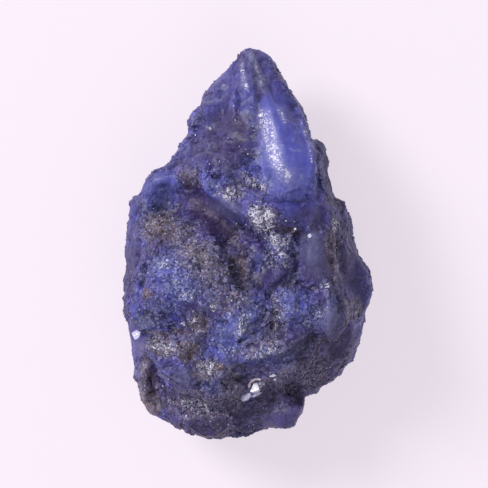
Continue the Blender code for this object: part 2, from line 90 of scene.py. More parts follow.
# Areas of the shown side by finish, and where shade and highlights are painted: centre, half sizes, turn in
# degrees, strength
AREAS = {
    "glassy": [
        (5.4, 10.8, 3.9, 6.6, 14, 1), (3.2, 17.2, 3, 4.6, 24, 1), (0.4, 20.4, 4.6, 4.8, 0, 0.72),
        (-2.8, 17.6, 2.6, 4.6, -26, 0.6), (8.6, -1.6, 2.1, 3.6, 4, 0.9), (10.6, -9.6, 1.9, 2.6, 8, 0.8),
        (-2.3, 4.6, 2.6, 1.5, -34, 0.85), (7.2, 3.8, 3.4, 1.8, 0, 0.9), (-11.4, 7, 2.8, 2.3, 25, 0.7),
        (-14.8, 0, 1.6, 6.4, 0, 0.6), (13.8, -4.6, 2, 4.6, 6, 0.7), (9.9, 11.2, 1.2, 3.4, 10, 0.7),
        (2.9, -4.4, 1.6, 1.3, 0, 0.8), (-14.6, -12.6, 1.8, 2.6, 10, 0.8), (5, -22.6, 3.4, 1.6, 20, 0.7),
        (-4.6, 3.4, 4.6, 1.6, -42, 0.6), (-7.8, -17.4, 1.3, 1.5, 20, 0.6), (12.8, -12.6, 1.4, 3, -30, 0.6),
        (6, -11.8, 1.8, 1.2, 20, 0.5), (-3.2, 12.8, 3.4, 3.8, -20, 0.55), (-0.4, 14.6, 1.6, 3.4, 0, 0.6),
        (-6.4, 10.6, 1.8, 1.6, 30, 0.6),
    ],
    "grainy": [
        (-4.6, -2.4, 4.6, 2.8, -26, 1), (-2, -6.4, 2.6, 3, 0, 0.8), (-10.8, 1.9, 1.9, 1.8, 20, 1),
        (-7.6, 0.6, 2.6, 1.8, -20, 0.85), (-10.4, -13, 2.4, 1.4, -8, 1), (-7.4, -13.4, 1.5, 1.7, 0, 0.9),
        (-5.8, -10.4, 1.2, 1.8, 0, 0.7), (-4.7, -16, 2, 1.5, 0, 0.95), (-5.6, -20.8, 4.2, 2, -6, 1),
        (2, 3.2, 1.7, 2.2, 30, 1), (3.9, 0.4, 2.1, 1, -28, 0.8), (4.2, -1.8, 2.2, 1.8, 0, 0.5),
        (-1.6, -18.4, 1.8, 2.8, 0, 0.75), (6, -16.8, 5.2, 2, 20, 0.65), (3.8, -9.4, 1.4, 3.2, 0, 0.6),
        (-1.9, 6.3, 1.8, 1.1, -20, 0.9), (1, 7.4, 2.2, 0.9, -38, 0.7), (-12.6, -18.6, 1.2, 2.6, 6, 0.8),
        (11, -1.6, 0.9, 3.4, 6, 0.5), (13.6, -8.6, 1.2, 1.8, 0, 0.6), (2.4, -13.2, 4.4, 1.2, 14, 0.6),
    ],
    "glittery": [
        (2, 3.2, 1.4, 1.9, 30, 1), (3.9, 0.5, 1.9, 0.8, -28, 0.7), (-1.9, 6.2, 1.2, 0.8, -20, 0.75),
        (1.3, 7.4, 1.9, 0.7, -38, 0.6), (-6.2, -20.5, 2.4, 1, -10, 0.75), (-10.5, -13, 1.9, 0.9, -8, 0.6),
        (-4.8, -15.9, 1.7, 1.2, -20, 0.45), (-10.4, -2.6, 1.1, 0.9, 0, 0.55),
        (-8.6, -4.6, 0.7, 0.6, 0, 0.45), (-7.6, -6.8, 0.9, 0.7, 0, 0.6), (-7.1, -10.2, 1.3, 0.6, 10, 0.6),
        (-0.6, -10.4, 0.6, 1.9, -18, 0.6), (3.8, -9.2, 0.7, 2.8, 4, 0.5), (9.9, -5.3, 0.8, 0.7, -30, 0.6),
        (4.2, -1.8, 1.9, 1.4, 20, 0.35), (-2, -13.6, 1.2, 1, 0, 0.3), (-4.2, -8, 0.9, 0.7, 0, 0.45),
        (9.6, -8.8, 1.3, 0.8, -20, 0.4), (3, -13.6, 2.6, 0.8, 14, 0.35), (-4.6, 14.4, 0.5, 0.4, 0, 0.5),
        (-4.2, 9.4, 1.4, 0.8, -20, 0.3), (11.2, 2.3, 0.4, 0.9, 0, 0.5), (1.8, -17.9, 0.6, 0.7, 0, 0.7),
    ],
    "bright": [
        (6.8, 10.8, 2.6, 5.8, 10, 1), (4, 9.6, 4.2, 5.6, 14, 0.75), (3.6, 15.6, 2, 3.6, 18, 0.8),
        (-0.3, 18.2, 1.4, 2.4, -8, 0.5), (-2.8, 19.4, 2.4, 3.8, -24, 0.4), (-10.6, 6.2, 2.6, 2.2, 25, 0.8),
        (-8.8, -4.6, 3, 3.4, 0, 0.9), (-10.4, -2.6, 2, 1.4, -20, 0.6), (-1.9, -11.6, 2.4, 2.8, -16, 0.95),
        (0.6, -8.6, 1.6, 2.2, -10, 0.6), (4.6, -1.2, 2, 2.2, 20, 0.5), (0.9, -1.8, 1.2, 3, 30, 0.8),
        (-3.8, 7.6, 2.6, 1.6, -34, 0.5), (5.8, -7.8, 2.4, 2.6, -20, 0.8), (-14.8, 2.2, 1, 3, 0, 0.5),
        (-9.6, -16.6, 1.8, 1.8, 0, 0.45), (14.2, -11.4, 1, 2.4, -20, 0.6), (-4.6, 14.6, 0.8, 0.7, 0, 0.8),
        (-3.6, 12.6, 3.2, 3.6, -20, 0.3), (-14.2, -13.4, 1.2, 1.6, 0, 0.6), (0.8, -14.6, 2.4, 1.2, 10, 0.5),
    ],
    "slate": [
        (8.7, -1.4, 2.2, 3.8, 4, 1), (10.8, -9.6, 1.9, 2.6, 8, 1), (13.4, -3, 2.4, 5, 6, 0.7),
        (11.8, 4.6, 1.6, 5.4, 12, 0.8), (9.9, 10.6, 1, 5.4, 10, 0.9), (-14.6, -1.6, 1.2, 4.6, 0, 0.4),
        (7, -17, 4.6, 2.4, 30, 0.7), (-2.4, 4.2, 2.2, 1.4, -34, 0.75), (2, -19.6, 7.4, 3, 14, 0.45),
        (-2.6, -4.2, 2.4, 2.4, 0, 0.6), (-7.8, -17.4, 1.4, 1.6, 20, 0.7), (-11.8, -8.6, 1, 1.2, 0, 0.5),
        (0.6, -6.4, 1.2, 1.6, 0, 0.5), (1.9, 20.6, 0.8, 2.2, 14, 0.7),
    ],
    "brown": [
        (-10.9, 1.9, 2.3, 2.2, 20, 1), (-6.2, -1.4, 2.4, 0.9, -14, 0.8), (-0.5, -3.2, 1, 2, 10, 0.65),
        (-10.6, -13, 2.2, 1.2, -8, 0.8), (-7.4, -13.4, 1.4, 1.6, 0, 0.9), (-5.7, -10.2, 1.1, 1.7, 0, 0.8),
        (-12.3, -6.7, 0.8, 0.7, 0, 0.9), (-4.6, -15.8, 1.9, 1.3, 0, 0.7), (-3.8, -15.6, 1, 0.8, 0, 1),
        (-12.4, -20.2, 1.6, 2.4, 20, 1), (-12.6, -17, 1, 2.6, 6, 0.9), (-9.4, -11.3, 2.6, 0.4, -4, 0.9),
        (-7, 8.2, 1.3, 1.1, 0, 0.6), (10.9, -1.4, 1, 3.6, 6, 0.6), (13.6, -8.8, 1.2, 1.8, 0, 0.5),
        (-1.6, -18.6, 1.6, 2.6, 0, 0.4), (9, -12.6, 1.6, 0.7, 20, 0.4), (5.9, 1.5, 1.2, 0.7, 0, 0.5),
    ],
    "rusty": [
        (-3.6, -15.6, 0.8, 0.6, 0, 1), (-7.4, -13.6, 1.2, 1.3, 0, 0.5), (-0.4, -3.2, 0.8, 1.8, 10, 0.3),
        (-12.3, -6.7, 0.7, 0.6, 0, 0.5), (-12.6, -21, 1.2, 1, 0, 0.6), (-5.7, -10.6, 0.9, 1.2, 0, 0.3),
    ],
    # Painted shade: the valley, pits, tip, left edge and bottom made darker
    "shaded": [
        (-4.4, 3, 5.4, 1.3, -42, 1), (-6.9, 6.2, 1, 1.9, 0, 0.7), (0, -1.4, 2.6, 1, -62, 0.8),
        (8, 3.2, 2.8, 1.5, 0, 0.5), (5.4, 1.6, 1.9, 0.7, -8, 1), (10.7, -1.6, 0.7, 5, 4, 0.6),
        (2, -20, 7.4, 2.4, 12, 0.75), (-5, -23.6, 8, 1.8, 0, 0.9), (-11.9, -17.8, 0.9, 3.2, 4, 0.8),
        (12, -13, 2.2, 3.6, -40, 0.6), (-9, -11.2, 3, 0.5, -4, 0.7), (6.6, -5.4, 2.6, 0.5, -14, 0.6),
        (3.9, -9.4, 0.9, 3.2, 4, 0.5), (10, -12.3, 1.6, 0.6, 14, 0.7), (1.5, 17, 0.35, 2.2, -6, 0.7),
        (0.9, 12.6, 0.5, 2.4, -6, 0.4), (0.6, -17.6, 2, 0.6, 10, 0.6), (-2.8, 13, 3.6, 4.4, -20, 0.75),
        (-10.9, 1.9, 2.2, 2, 20, 0.4), (0.4, 20.6, 4.2, 3.6, 0, 0.3), (-5.6, -21.2, 5.4, 3, 0, 0.6),
        (7.6, -17.4, 4.6, 2, 24, 0.8), (9.2, -14.8, 3.6, 2.2, 30, 0.55), (-15.2, -1, 1.4, 7, 0, 0.35),
    ],
    "violet": [
        (-3.4, 12.2, 3.6, 4, -20, 0.4), (-0.6, 15, 1.2, 2.2, 0, 0.8), (-1, 0.2, 3.6, 1.6, -42, 1),
        (-5.6, 3.6, 3.6, 1.9, -40, 0.9), (2.8, -4.6, 1.9, 1.4, 0, 1), (0.2, -4.6, 1, 2.2, 10, 0.9),
        (-3.2, 19, 2.2, 3, -26, 0.4), (-14.2, -13, 1.6, 3.4, 14, 0.7), (4, -22.4, 4.4, 2, 18, 0.8),
        (12, -12.8, 2.8, 3.6, -30, 0.8), (-12.6, -20.6, 1.4, 2.2, 20, 0.6), (8.8, -3.6, 2.2, 1.4, 0, 0.8),
        (12.4, -1, 1.6, 4.6, 6, 0.7), (-8, 0.6, 2.2, 1.6, -20, 0.7), (5, -18, 6, 3, 16, 0.7),
        (6.2, -12, 3, 1.6, 14, 0.6), (-10, -17.4, 2, 2.4, 0, 0.7), (-5.6, -6.6, 2, 1.6, 0, 0.4),
    ],
    # Pale frost, and painted highlights on the boss, the tip and some glints
    "frost_and_highlight": [
        (3, 12, 1.6, 4.8, 14, 0.55), (4.6, 7.6, 3.2, 1.9, 10, 0.6), (0.9, 23, 0.5, 1.4, 14, 0.8),
        (2.1, 20.6, 0.6, 1.8, 14, 0.7), (-0.8, -10.4, 1, 2.4, -18, 0.8), (-2, -13.4, 1.4, 1.2, 0, 0.5),
        (-10.6, -2.5, 1, 0.9, 0, 0.9), (-8.7, -4.7, 0.9, 0.8, 0, 0.7), (-7.4, -7, 1.1, 0.8, 20, 0.6),
        (-12.1, -8.4, 0.9, 0.9, 0, 0.6), (4.8, -7.6, 1.6, 1.6, 0, 0.35), (-2.2, 4.6, 1.8, 1.2, -34, 0.35),
        (10.6, -9.6, 1.6, 2, 8, 0.4), (8.6, -0.4, 1.4, 1.8, 0, 0.25), (5.4, -13.6, 2.2, 1, 18, 0.3),
        (-7.8, -17.2, 1, 1.2, 20, 0.4), (-10.6, 6.4, 2.4, 2, 25, 0.4), (-11.2, 3.8, 0.5, 0.5, 0, 0.7),
        (-9.8, 4.3, 0.5, 0.7, 0, 0.5), (-4.4, 12, 0.6, 0.8, 0, 0.6), (-7.9, 11.6, 0.7, 0.5, 0, 0.5),
        (8, 0.8, 0.4, 0.3, 0, 0.9),
    ],
    "flaky": [
        (-5.6, -7, 8.4, 8.8, 0, 1), (-1, -16.4, 10, 6.4, 8, 0.8), (4.6, -8.4, 5.4, 6, 0, 1),
        (4, -1.2, 3, 3.2, 0, 0.8), (0.6, -1.8, 1.4, 3.4, 30, 0.6), (-10.6, 5.6, 3.4, 2.8, 25, 0.35),
        (-4, 8, 4.6, 1.8, -34, 0.55), (-4, 12.2, 2.6, 2.2, 0, 0.2), (2, 3.2, 2, 2.6, 30, 0.7),
        (9.8, -4.9, 1.4, 1, 0, 0.8),
    ],
    "cleared": [
        (1.2, -18.8, 1.1, 1.4, 0, 1), (0, -19.4, 1.1, 0.9, 20, 1), (-13.7, -11.7, 0.9, 0.9, 0, 1),
        (3.4, -16.8, 0.6, 0.4, 0, 1),
    ],
}

# The same finishes on the unseen sides: noise that spreads them, strength, where it starts and is full
UNSEEN = {
    "glassy": ("broad", 0.5, 0.2, 0.6),
    "grainy": ("patchy", 1.0, 0.0, 0.45),
    "glittery": ("patchy", 0.5, 0.3, 0.6),
    "bright": ("patchy", 0.8, -0.1, -0.5),
    "slate": ("broad", 0.8, 0.0, -0.5),
    "brown": ("patchy", 1.0, 0.28, 0.6),
    "rusty": ("patchy", 1.0, 0.5, 0.7),
    "violet": ("broad", 0.6, -0.1, -0.5),
    "frost_and_highlight": ("patchy", 0.5, -0.35, -0.7),
    "flaky": ("patchy", 0.45, -0.4, 0.3),
}

# How flaky the shown side is outside its flaky areas
LEAST_FLAKY = 0.12

# Streaks of the shown side, glossier and with a painted highlight of white glints and a lavender glow: route,
# half width, strength
GLOSS_AND_HIGHLIGHT_STREAKS = [
    ([(2.3, 16.1), (2.8, 14.0), (3.3, 11.9), (4.0, 9.9), (4.9, 8.4)], 1.15, 0.9),
    ([(4.2, 16.7), (5.0, 15.2)], 0.45, 0.8),
    ([(7.0, 15.0), (8.0, 12.2), (8.3, 10.2)], 0.25, 0.7),
    ([(-0.5, 22.6), (-0.3, 20.8), (0.1, 19.2)], 0.40, 0.8),
    ([(0.8, 23.8), (1.3, 22.4), (2.0, 20.2)], 0.35, 0.75),
]

# Lines of the shown side: route, half width, depth. A negative depth stands proud
CREASES = [
    ([(1.4, 19.0), (1.7, 16.5), (1.3, 14.3), (0.7, 12.0), (0.4, 10.0)], 0.45, 0.22),
    ([(1.9, 6.7), (4.4, 5.6), (7.0, 5.3), (9.1, 5.6)], 0.40, 0.18),
    ([(6.9, 18.2), (8.4, 14.4), (9.2, 10.7), (9.3, 5.8)], 0.50, 0.22),
    ([(6.3, 17.6), (7.7, 14.2), (8.5, 10.6), (8.6, 6.2)], 0.50, -0.26),
    ([(0.4, 24.0), (0.9, 21.4), (1.4, 19.2)], 0.45, -0.24),
    ([(-1.2, 22.6), (-1.0, 19.4), (-0.6, 16.0)], 0.35, 0.20),
    ([(2.0, 22.8), (2.9, 20.2), (4.4, 17.4)], 0.30, 0.16),
    ([(-6.0, -18.0), (-3.2, -17.6), (-0.3, -17.1), (3.6, -16.1), (6.8, -14.2)], 0.35, 0.20),
    ([(6.8, -5.0), (8.7, -5.9), (9.6, -7.1), (9.4, -9.6)], 0.35, 0.24),
    ([(8.8, -12.0), (10.4, -12.6), (12.0, -12.0)], 0.35, 0.24),
    ([(10.8, 1.0), (10.9, -2.0), (11.6, -5.6), (11.8, -9.4)], 0.40, 0.24),
    ([(6.4, 0.8), (6.5, -1.6), (6.3, -4.2)], 0.28, 0.20),
    ([(3.2, -6.4), (3.7, -9.0), (3.0, -11.8)], 0.30, 0.22),
    ([(-0.6, -8.4), (0.2, -10.6), (-1.0, -13.8)], 0.25, 0.20),
    ([(-5.2, -8.8), (-5.0, -11.6), (-5.4, -14.6), (-4.6, -17.4)], 0.24, 0.26),
    ([(-12.6, -8.8), (-10.6, -10.4), (-7.6, -10.9), (-5.2, -10.4)], 0.35, 0.24),
    ([(-13.4, -1.6), (-12.6, -3.8), (-13.2, -6.4)], 0.30, 0.20),
    ([(-12.0, -15.4), (-12.0, -17.6), (-11.2, -20.4)], 0.45, 0.28),
    ([(-7.4, -4.2), (-6.0, -6.2), (-6.6, -8.0)], 0.25, 0.18),
    ([(7.6, -19.7), (5.4, -18.9), (3.8, -19.2)], 0.35, 0.26),
    ([(-8.6, 10.2), (-6.6, 12.6), (-6.4, 14.4)], 0.30, 0.20),
    ([(-13.2, 3.0), (-12.2, 4.4), (-10.2, 4.6)], 0.35, 0.22),
]

# Stretches of the shown side whose skin is ribbed: centre, half sizes, turn, way of the ribs, depth
RIBBED = [
    (0.6, 20.4, 4.2, 4.6, 0, 94, 0.08), (3.4, 14.6, 3, 5.6, 16, 104, 0.04), (12.4, -3, 3, 8.6, 6, 82, 0.08),
    (10.2, 9, 1.4, 7, 8, 80, 0.08), (2.8, -11.4, 4.2, 2.8, 24, 28, 0.16), (-14.6, -2, 1.6, 8, 0, 88, 0.1),
    (-2.6, 14.4, 2.8, 4.4, -14, 82, 0.06),
]

# Mica plates: corners in plan, height above the skin, lean towards +X and +Y, material
PLATES = [
    ([(1.14, -17.76), (1.54, -17.76), (1.83, -18.5), (1.75, -18.75), (0.9, -18.98), (0.68, -18.85)],
     0.36, (-0.28, 0.26), "white_mica"),
    ([(0.95, -19.03), (1.75, -18.82), (2.06, -18.98), (1.6, -19.27), (1.02, -19.58), (0.7, -19.2)],
     0.28, (-0.36, 0.0), "lavender_mica"),
    ([(-0.66, -19.8), (-0.31, -20.04), (0.2, -19.9), (0.73, -19.44),
      (0.67, -18.95), (-0.02, -18.92), (-0.49, -19.38)],
     0.32, (-0.22, 0.2), "lavender_mica"),
    ([(2.98, -16.98), (3.08, -16.62), (3.5, -16.55), (3.85, -16.8), (3.5, -16.95)],
     0.14, (0.0, 0.15), "white_mica"),
    ([(3.4, -17.35), (3.55, -17.1), (3.9, -17.2), (3.75, -17.45)],
     0.05, (0.1, 0.1), "lavender_mica"),
    ([(-14.3, -11.4), (-13.7, -11.05), (-13.15, -11.3), (-13.3, -12.1), (-13.9, -12.25)],
     0.22, (-0.3, 0.1), "lavender_mica"),
    ([(8.0, 0.5), (7.75, 0.9), (8.1, 1.15), (8.35, 0.8)],
     0.05, (0.0, 0.2), "lavender_mica"),
    ([(6.1, 1.5), (6.05, 1.75), (6.3, 1.85), (6.4, 1.6)],
     0.12, (0.0, 0.2), "white_mica"),
]

# The width of a plate's foot and of its top, as shares of the width that its corners give
PLATE_SWELL = 1.08
PLATE_TOP = 0.96

# The pale rim round the largest plate: its route, half its width and its height
RIM = [
    (0.42, -18.3), (0.47, -17.95), (0.58, -17.68), (0.82, -17.42),
    (1.18, -17.24), (1.58, -17.2), (1.9, -17.3),
]
RIM_HALF_WIDTH = 0.20
RIM_HEIGHT = 0.30
RIM_PROFILE = [(-1.0, -1.0), (-1.0, 0.1), (-0.4, 1.0), (0.4, 1.0), (1.0, 0.1), (1.0, -1.0)]

# Lights: name, place and side in metres, power in watts, colour
LIGHTS = [
    ("window", (-0.62, 0.40, 0.66), 0.34, 6.4, (1.0, 0.98, 1.0)),
    ("fill", (0.12, -0.34, 0.50), 0.40, 0.5, (0.96, 0.95, 1.0)),
]
SKY_COLOUR = (0.93, 0.90, 1.0, 1.0)
LIT_POINT = (0.0, 0.0, 0.01)

# The camera looks straight down past this place, and the stone is widest at this height, in metres
VIEW_CENTRE_X = -0.00038
WIDEST_LEVEL = 0.0095


def smooth_step(low, high, values):
    share = np.clip((values - low) / (high - low), 0.0, 1.0)
    return share * share * (3 - 2 * share)


def turned(x, y, degrees):
    """The coordinates along and across a way that many degrees anticlockwise from +X."""
    cosine = math.cos(math.radians(degrees))
    sine = math.sin(math.radians(degrees))
    return x * cosine + y * sine, y * cosine - x * sine


def area_share(plan, areas):
    """How much each point lies in any of the areas, from 0 to 1 in the middle of a full one."""
    share = np.zeros(len(plan))
    for x, y, half_x, half_y, turn, strength in areas:
        along, across = turned(plan[:, 0] - x, plan[:, 1] - y, turn)
        reach = np.hypot(along / half_x, across / half_y)
        share = np.maximum(share, strength * smooth_step(*AREA_FADE, reach))
    return share


def route_distance(plan, route):
    """Distance in plan from a line through the route's points."""
    nearest = np.full(len(plan), np.inf)
    for start, end in zip(np.array(route[:-1]), np.array(route[1:])):
        along = end - start
        share = np.clip((plan - start) @ along / (along @ along), 0.0, 1.0)
        nearest = np.minimum(nearest, np.linalg.norm(plan - start - share[:, None] * along, axis=1))
    return nearest


def noise_values(points, size, shift=0.0):
    """Soft noise, about -1 to 1, at each point."""
    return np.array([noise.noise(point / size + Vector((shift, shift, shift))) for point in points])


def cell_values(points, size, metric="DISTANCE"):
    """Distance from the middle of the nearest cell: round grains, or flat facets by MANHATTAN."""
    return np.array([noise.voronoi(point / size, distance_metric=metric)[0][0] for point in points])


def plate_values(points, size):
    """Height of small flat plates, each broken off from the next and leaning its own way."""
    heights = []
    for point in points:
        place = point / size
        centre = noise.voronoi(place)[1][0]
        lean = noise.cell_vector(centre * LEAN_DRAW) - Vector((0.5, 0.5, 0.5))
        heights.append((place - centre).dot(lean))
    return np.array(heights)


def cell_tones(points, size):
    """Two random numbers from 0 to 1 for each of the cells that facets or plates come from."""
    centres = [noise.voronoi(point / size)[1][0] for point in points]
    return np.array([noise.cell_vector(centre * TONE_DRAW)[:2] for centre in centres]).T


def sway(points, reach, size, *shifts):
    """Soft pulls on the points, with a column for each shift."""
    return reach * np.stack([noise_values(points, size, shift) for shift in shifts], axis=1)


def uneven_places(points, vectors):
    """The points pulled about, so that the cells taken at them come out uneven."""
    return [Vector(point) for point in points + sway(vectors, 1.1, 2.2, 31.1, 43.7, 57.9)]


def read_numbers(items, key, kind=np.float32, width=1):
    """One row of numbers for each of a mesh's points, edges or attribute values."""
    values = np.empty(width * len(items), kind)
    items.foreach_get(key, values)
    return values.reshape(-1, width) if width > 1 else values


def store_numbers(mesh, name, values):
    """Stores one number for each point, for the materials and the scatter to read."""
    attribute = mesh.attributes.new(name, "FLOAT", "POINT")
    attribute.data.foreach_set("value", values.astype(np.float32))


class Skin:
    """A mesh as arrays: its points in millimetres and which of them share an edge."""

    def __init__(self, mesh):
        self.mesh = mesh
        self.points = read_numbers(mesh.vertices, "co", width=3).astype(float) / MM
        pairs = read_numbers(mesh.edges, "vertices", np.int32, 2)
        self.first, self.second = pairs.T
        self.neighbours = np.bincount(pairs.ravel(), minlength=len(self.points))

    def averaged(self, values):
        """Each point's mean over the points that share an edge with it."""
        count = len(self.points)
        total = np.bincount(self.first, values[self.second], count)
        total += np.bincount(self.second, values[self.first], count)
        return total / self.neighbours

    def smoothed(self, rounds, share):
        """The points after that many rounds, in each of which they move a share of the way."""
        points = self.points.copy()
        for _ in range(rounds):
            means = np.stack([self.averaged(points[:, axis]) for axis in range(3)], axis=1)
            points += (means - points) * share
        return points

    def write(self):
        self.mesh.vertices.foreach_set("co", (self.points * MM).astype(np.float32).ravel())
        self.mesh.update()

    def normals(self):
        return read_numbers(self.mesh.vertex_normals, "vector", width=3).astype(float)


def object_of(name, mesh):
    thing = bpy.data.objects.new(name, mesh)
    bpy.context.scene.collection.objects.link(thing)
    return thing


def evaluated_mesh(thing):
    """What the object's modifiers make of it, as a plain mesh."""
    graph = bpy.context.evaluated_depsgraph_get()
    graph.update()
    return bpy.data.meshes.new_from_object(thing.evaluated_get(graph))


def through_modifier(name, mesh, kind, **settings):
    """The mesh as one modifier leaves it."""
    helper = object_of(name, mesh)
    modifier = helper.modifiers.new(name, kind)
    for key, value in settings.items():
        setattr(modifier, key, value)
    result = evaluated_mesh(helper)
    bpy.data.objects.remove(helper, do_unlink=True)
    return result


def merged_copy(node):
    """A copy of the solid's mesh whose loose triangles share their corners."""
    cage = bmesh.new()
    cage.from_mesh(node.data)
    bmesh.ops.remove_doubles(cage, verts=cage.verts, dist=1e-6)
    mesh = bpy.data.meshes.new("solid_copy")
    cage.to_mesh(mesh)
    cage.free()
    return mesh


def finishes_at(points, normals):
    """Where each finish, painted shade and painted highlight lies, from 0 to 1 at every point, and how much
    of each point is shown.
    """
    vectors = [Vector(point) for point in points]
    bend = sway(vectors, 0.55, 1.6, 3.7, 11.3)
    plan = points[:, :2] + ORIGIN_IN_PLAN
    shown = smooth_step(-0.25, 0.10, normals[:, 2]) * smooth_step(*SHOWN_HEIGHTS, points[:, 2])
    hidden = 1.0 - shown
    noises = {"broad": noise_values(vectors, 5.5, 5.1), "patchy": noise_values(vectors, 3.2, 21.7)}
    share = {name: shown * area_share(plan + bend, areas) for name, areas in AREAS.items()}
    share["flaky"] = np.maximum(share["flaky"], LEAST_FLAKY * shown)
    for name, (kind, strength, start, full) in UNSEEN.items():
        share[name] = share[name] + hidden * strength * smooth_step(start, full, noises[kind])
    # The streaks get more gloss and a painted highlight in the material
    gloss_and_highlight = np.zeros(len(points))
    for route, half_width, strength in GLOSS_AND_HIGHLIGHT_STREAKS:
        gap = route_distance(plan + 0.4 * bend, route)
        near = smooth_step(1.3 * half_width, 0.3 * half_width, gap)
        gloss_and_highlight = np.maximum(gloss_and_highlight, strength * near)
    share["gloss_and_highlight"] = gloss_and_highlight * shown
    share["glassy"] *= 1.0 - 0.9 * share["grainy"]
    broken = 0.9 + 0.9 * noise_values(vectors, 0.9, 9.3)
    share["glittery"] = np.clip(share["glittery"] * broken, 0.0, 1.0)
    uneven = 0.9 + 0.6 * noise_values(vectors, 1.3, 13.7)
    share["grainy"] = np.clip(share["grainy"] * uneven, 0.0, 1.0)
    return share, shown


def calm_near_seat(points):
    """No carving on the flat that the stone rests on, and all of it from a little above."""
    return smooth_step(0.15, 0.9, points[:, 2])


def crease_rise(plan, shown):
    """Height that the creases and proud lines give each point, stronger and weaker along them."""
    rise = np.zeros(len(plan))
    for route, half_width, depth in CREASES:
        gap = route_distance(plan, route)
        near = np.flatnonzero((gap < 2.0 * half_width) & (shown > 0.01))
        share = smooth_step(2.0 * half_width, 0.0, gap[near]) * shown[near]
        uneven = noise_values([Vector((x, y, 0.0)) for x, y in plan[near]], 1.1)
        rise[near] -= depth * share * np.clip(1.0 + NOISE_GAIN * uneven, 0.1, 1.9)
    return rise


def rib_rise(points, shown):
    """Height of the ribs that run along some stretches of the skin."""
    rise = np.zeros(len(points))
    plan = points[:, :2] + ORIGIN_IN_PLAN
    for *area, way, depth in RIBBED:
        share = area_share(plan, [(*area, 1.0)]) * shown
        inside = np.flatnonzero(share > 0.01)
        along, across = turned(points[inside, 0], points[inside, 1], way)
        stretched = (along / RIB_LENGTH, across / RIB_WIDTH, points[inside, 2] / RIB_DRIFT)
        ribs = np.array([noise.noise(Vector(place)) for place in zip(*stretched)])
        rise[inside] += depth * share[inside] * ribs * NOISE_GAIN
    return rise


def carve(skin):
    """Carves facets, grains, ribs and cracks into the skin."""
    calm = calm_near_seat(skin.points)
    skin.mesh.update()
    share, shown = finishes_at(skin.points, skin.normals())
    soft = skin.smoothed(GLASSY_ROUNDS, 0.5)
    crisp = skin.smoothed(BROKEN_ROUNDS, 0.5)
    glassy = share["glassy"][:, None]
    skin.points += ((crisp + (soft - crisp) * glassy) - skin.points) * calm[:, None]
    skin.write()
    normals = skin.normals()
    vectors = [Vector(point) for point in skin.points]
    rough = 1.0 - 0.93 * share["glassy"]
    grainy = share["grainy"]
    coarse = np.clip(grainy + share["glittery"], 0.0, 1.0)
    uneven = uneven_places(skin.points, vectors)
    rise = -BROAD_DEPTH * (cell_values(vectors, BROAD_SIZE, "MANHATTAN") - 0.55) * rough
    rise += FACET_DEPTH * plate_values(uneven, FACET_SIZE) * rough
    rise += FLAKE_DEPTH * plate_values(uneven, FLAKE_SIZE) * rough * (0.5 + 0.5 * coarse)
    rise -= CRUMB_DEPTH * (cell_values(uneven, CRUMB_SIZE, "MANHATTAN") - 0.55) * coarse
    rise -= GRAIN_DEPTH * (cell_values(uneven, GRAIN_SIZE) - 0.45) * grainy
    rise += SWELL_DEPTH * noise_values(vectors, SWELL_SIZE, 2.9) * (0.4 + 0.6 * rough)
    plan = skin.points[:, :2] + ORIGIN_IN_PLAN + sway(vectors, 0.3, 1.0, 8.1, 15.9)
    rise += crease_rise(plan, shown)
    rise += rib_rise(skin.points, shown)
    skin.points += normals * (rise * calm)[:, None]
    skin.points[:, 2] = np.maximum(skin.points[:, 2], 0.0)
    skin.write()


def store_finishes(skin):
    """Stores the finishes, with the hollows and crests of the carved skin, for the material, which paints
    shade into the hollows and sunk parts.
    """
    normals = skin.normals()
    stored = finishes_at(skin.points, normals)[0]
    uneven = uneven_places(skin.points, [Vector(point) for point in skin.points])
    for label, size in (("facet", FACET_SIZE), ("flake", FLAKE_SIZE)):
        stored[label + "_tone"], stored[label + "_tint"] = cell_tones(uneven, size)
    near = np.einsum("ij,ij->i", skin.smoothed(5, 0.5) - skin.points, normals)
    wide = np.einsum("ij,ij->i", skin.smoothed(60, 0.6) - skin.points, normals)
    stored["crest"] = smooth_step(0.005, 0.05, -near)
    # The hollows and the sunk parts are where the material paints shade
    stored["hollow"] = smooth_step(0.01, 0.08, near)
    stored["sunk"] = smooth_step(0.02, 0.45, wide)
    for name, values in stored.items():
        store_numbers(skin.mesh, name, values)


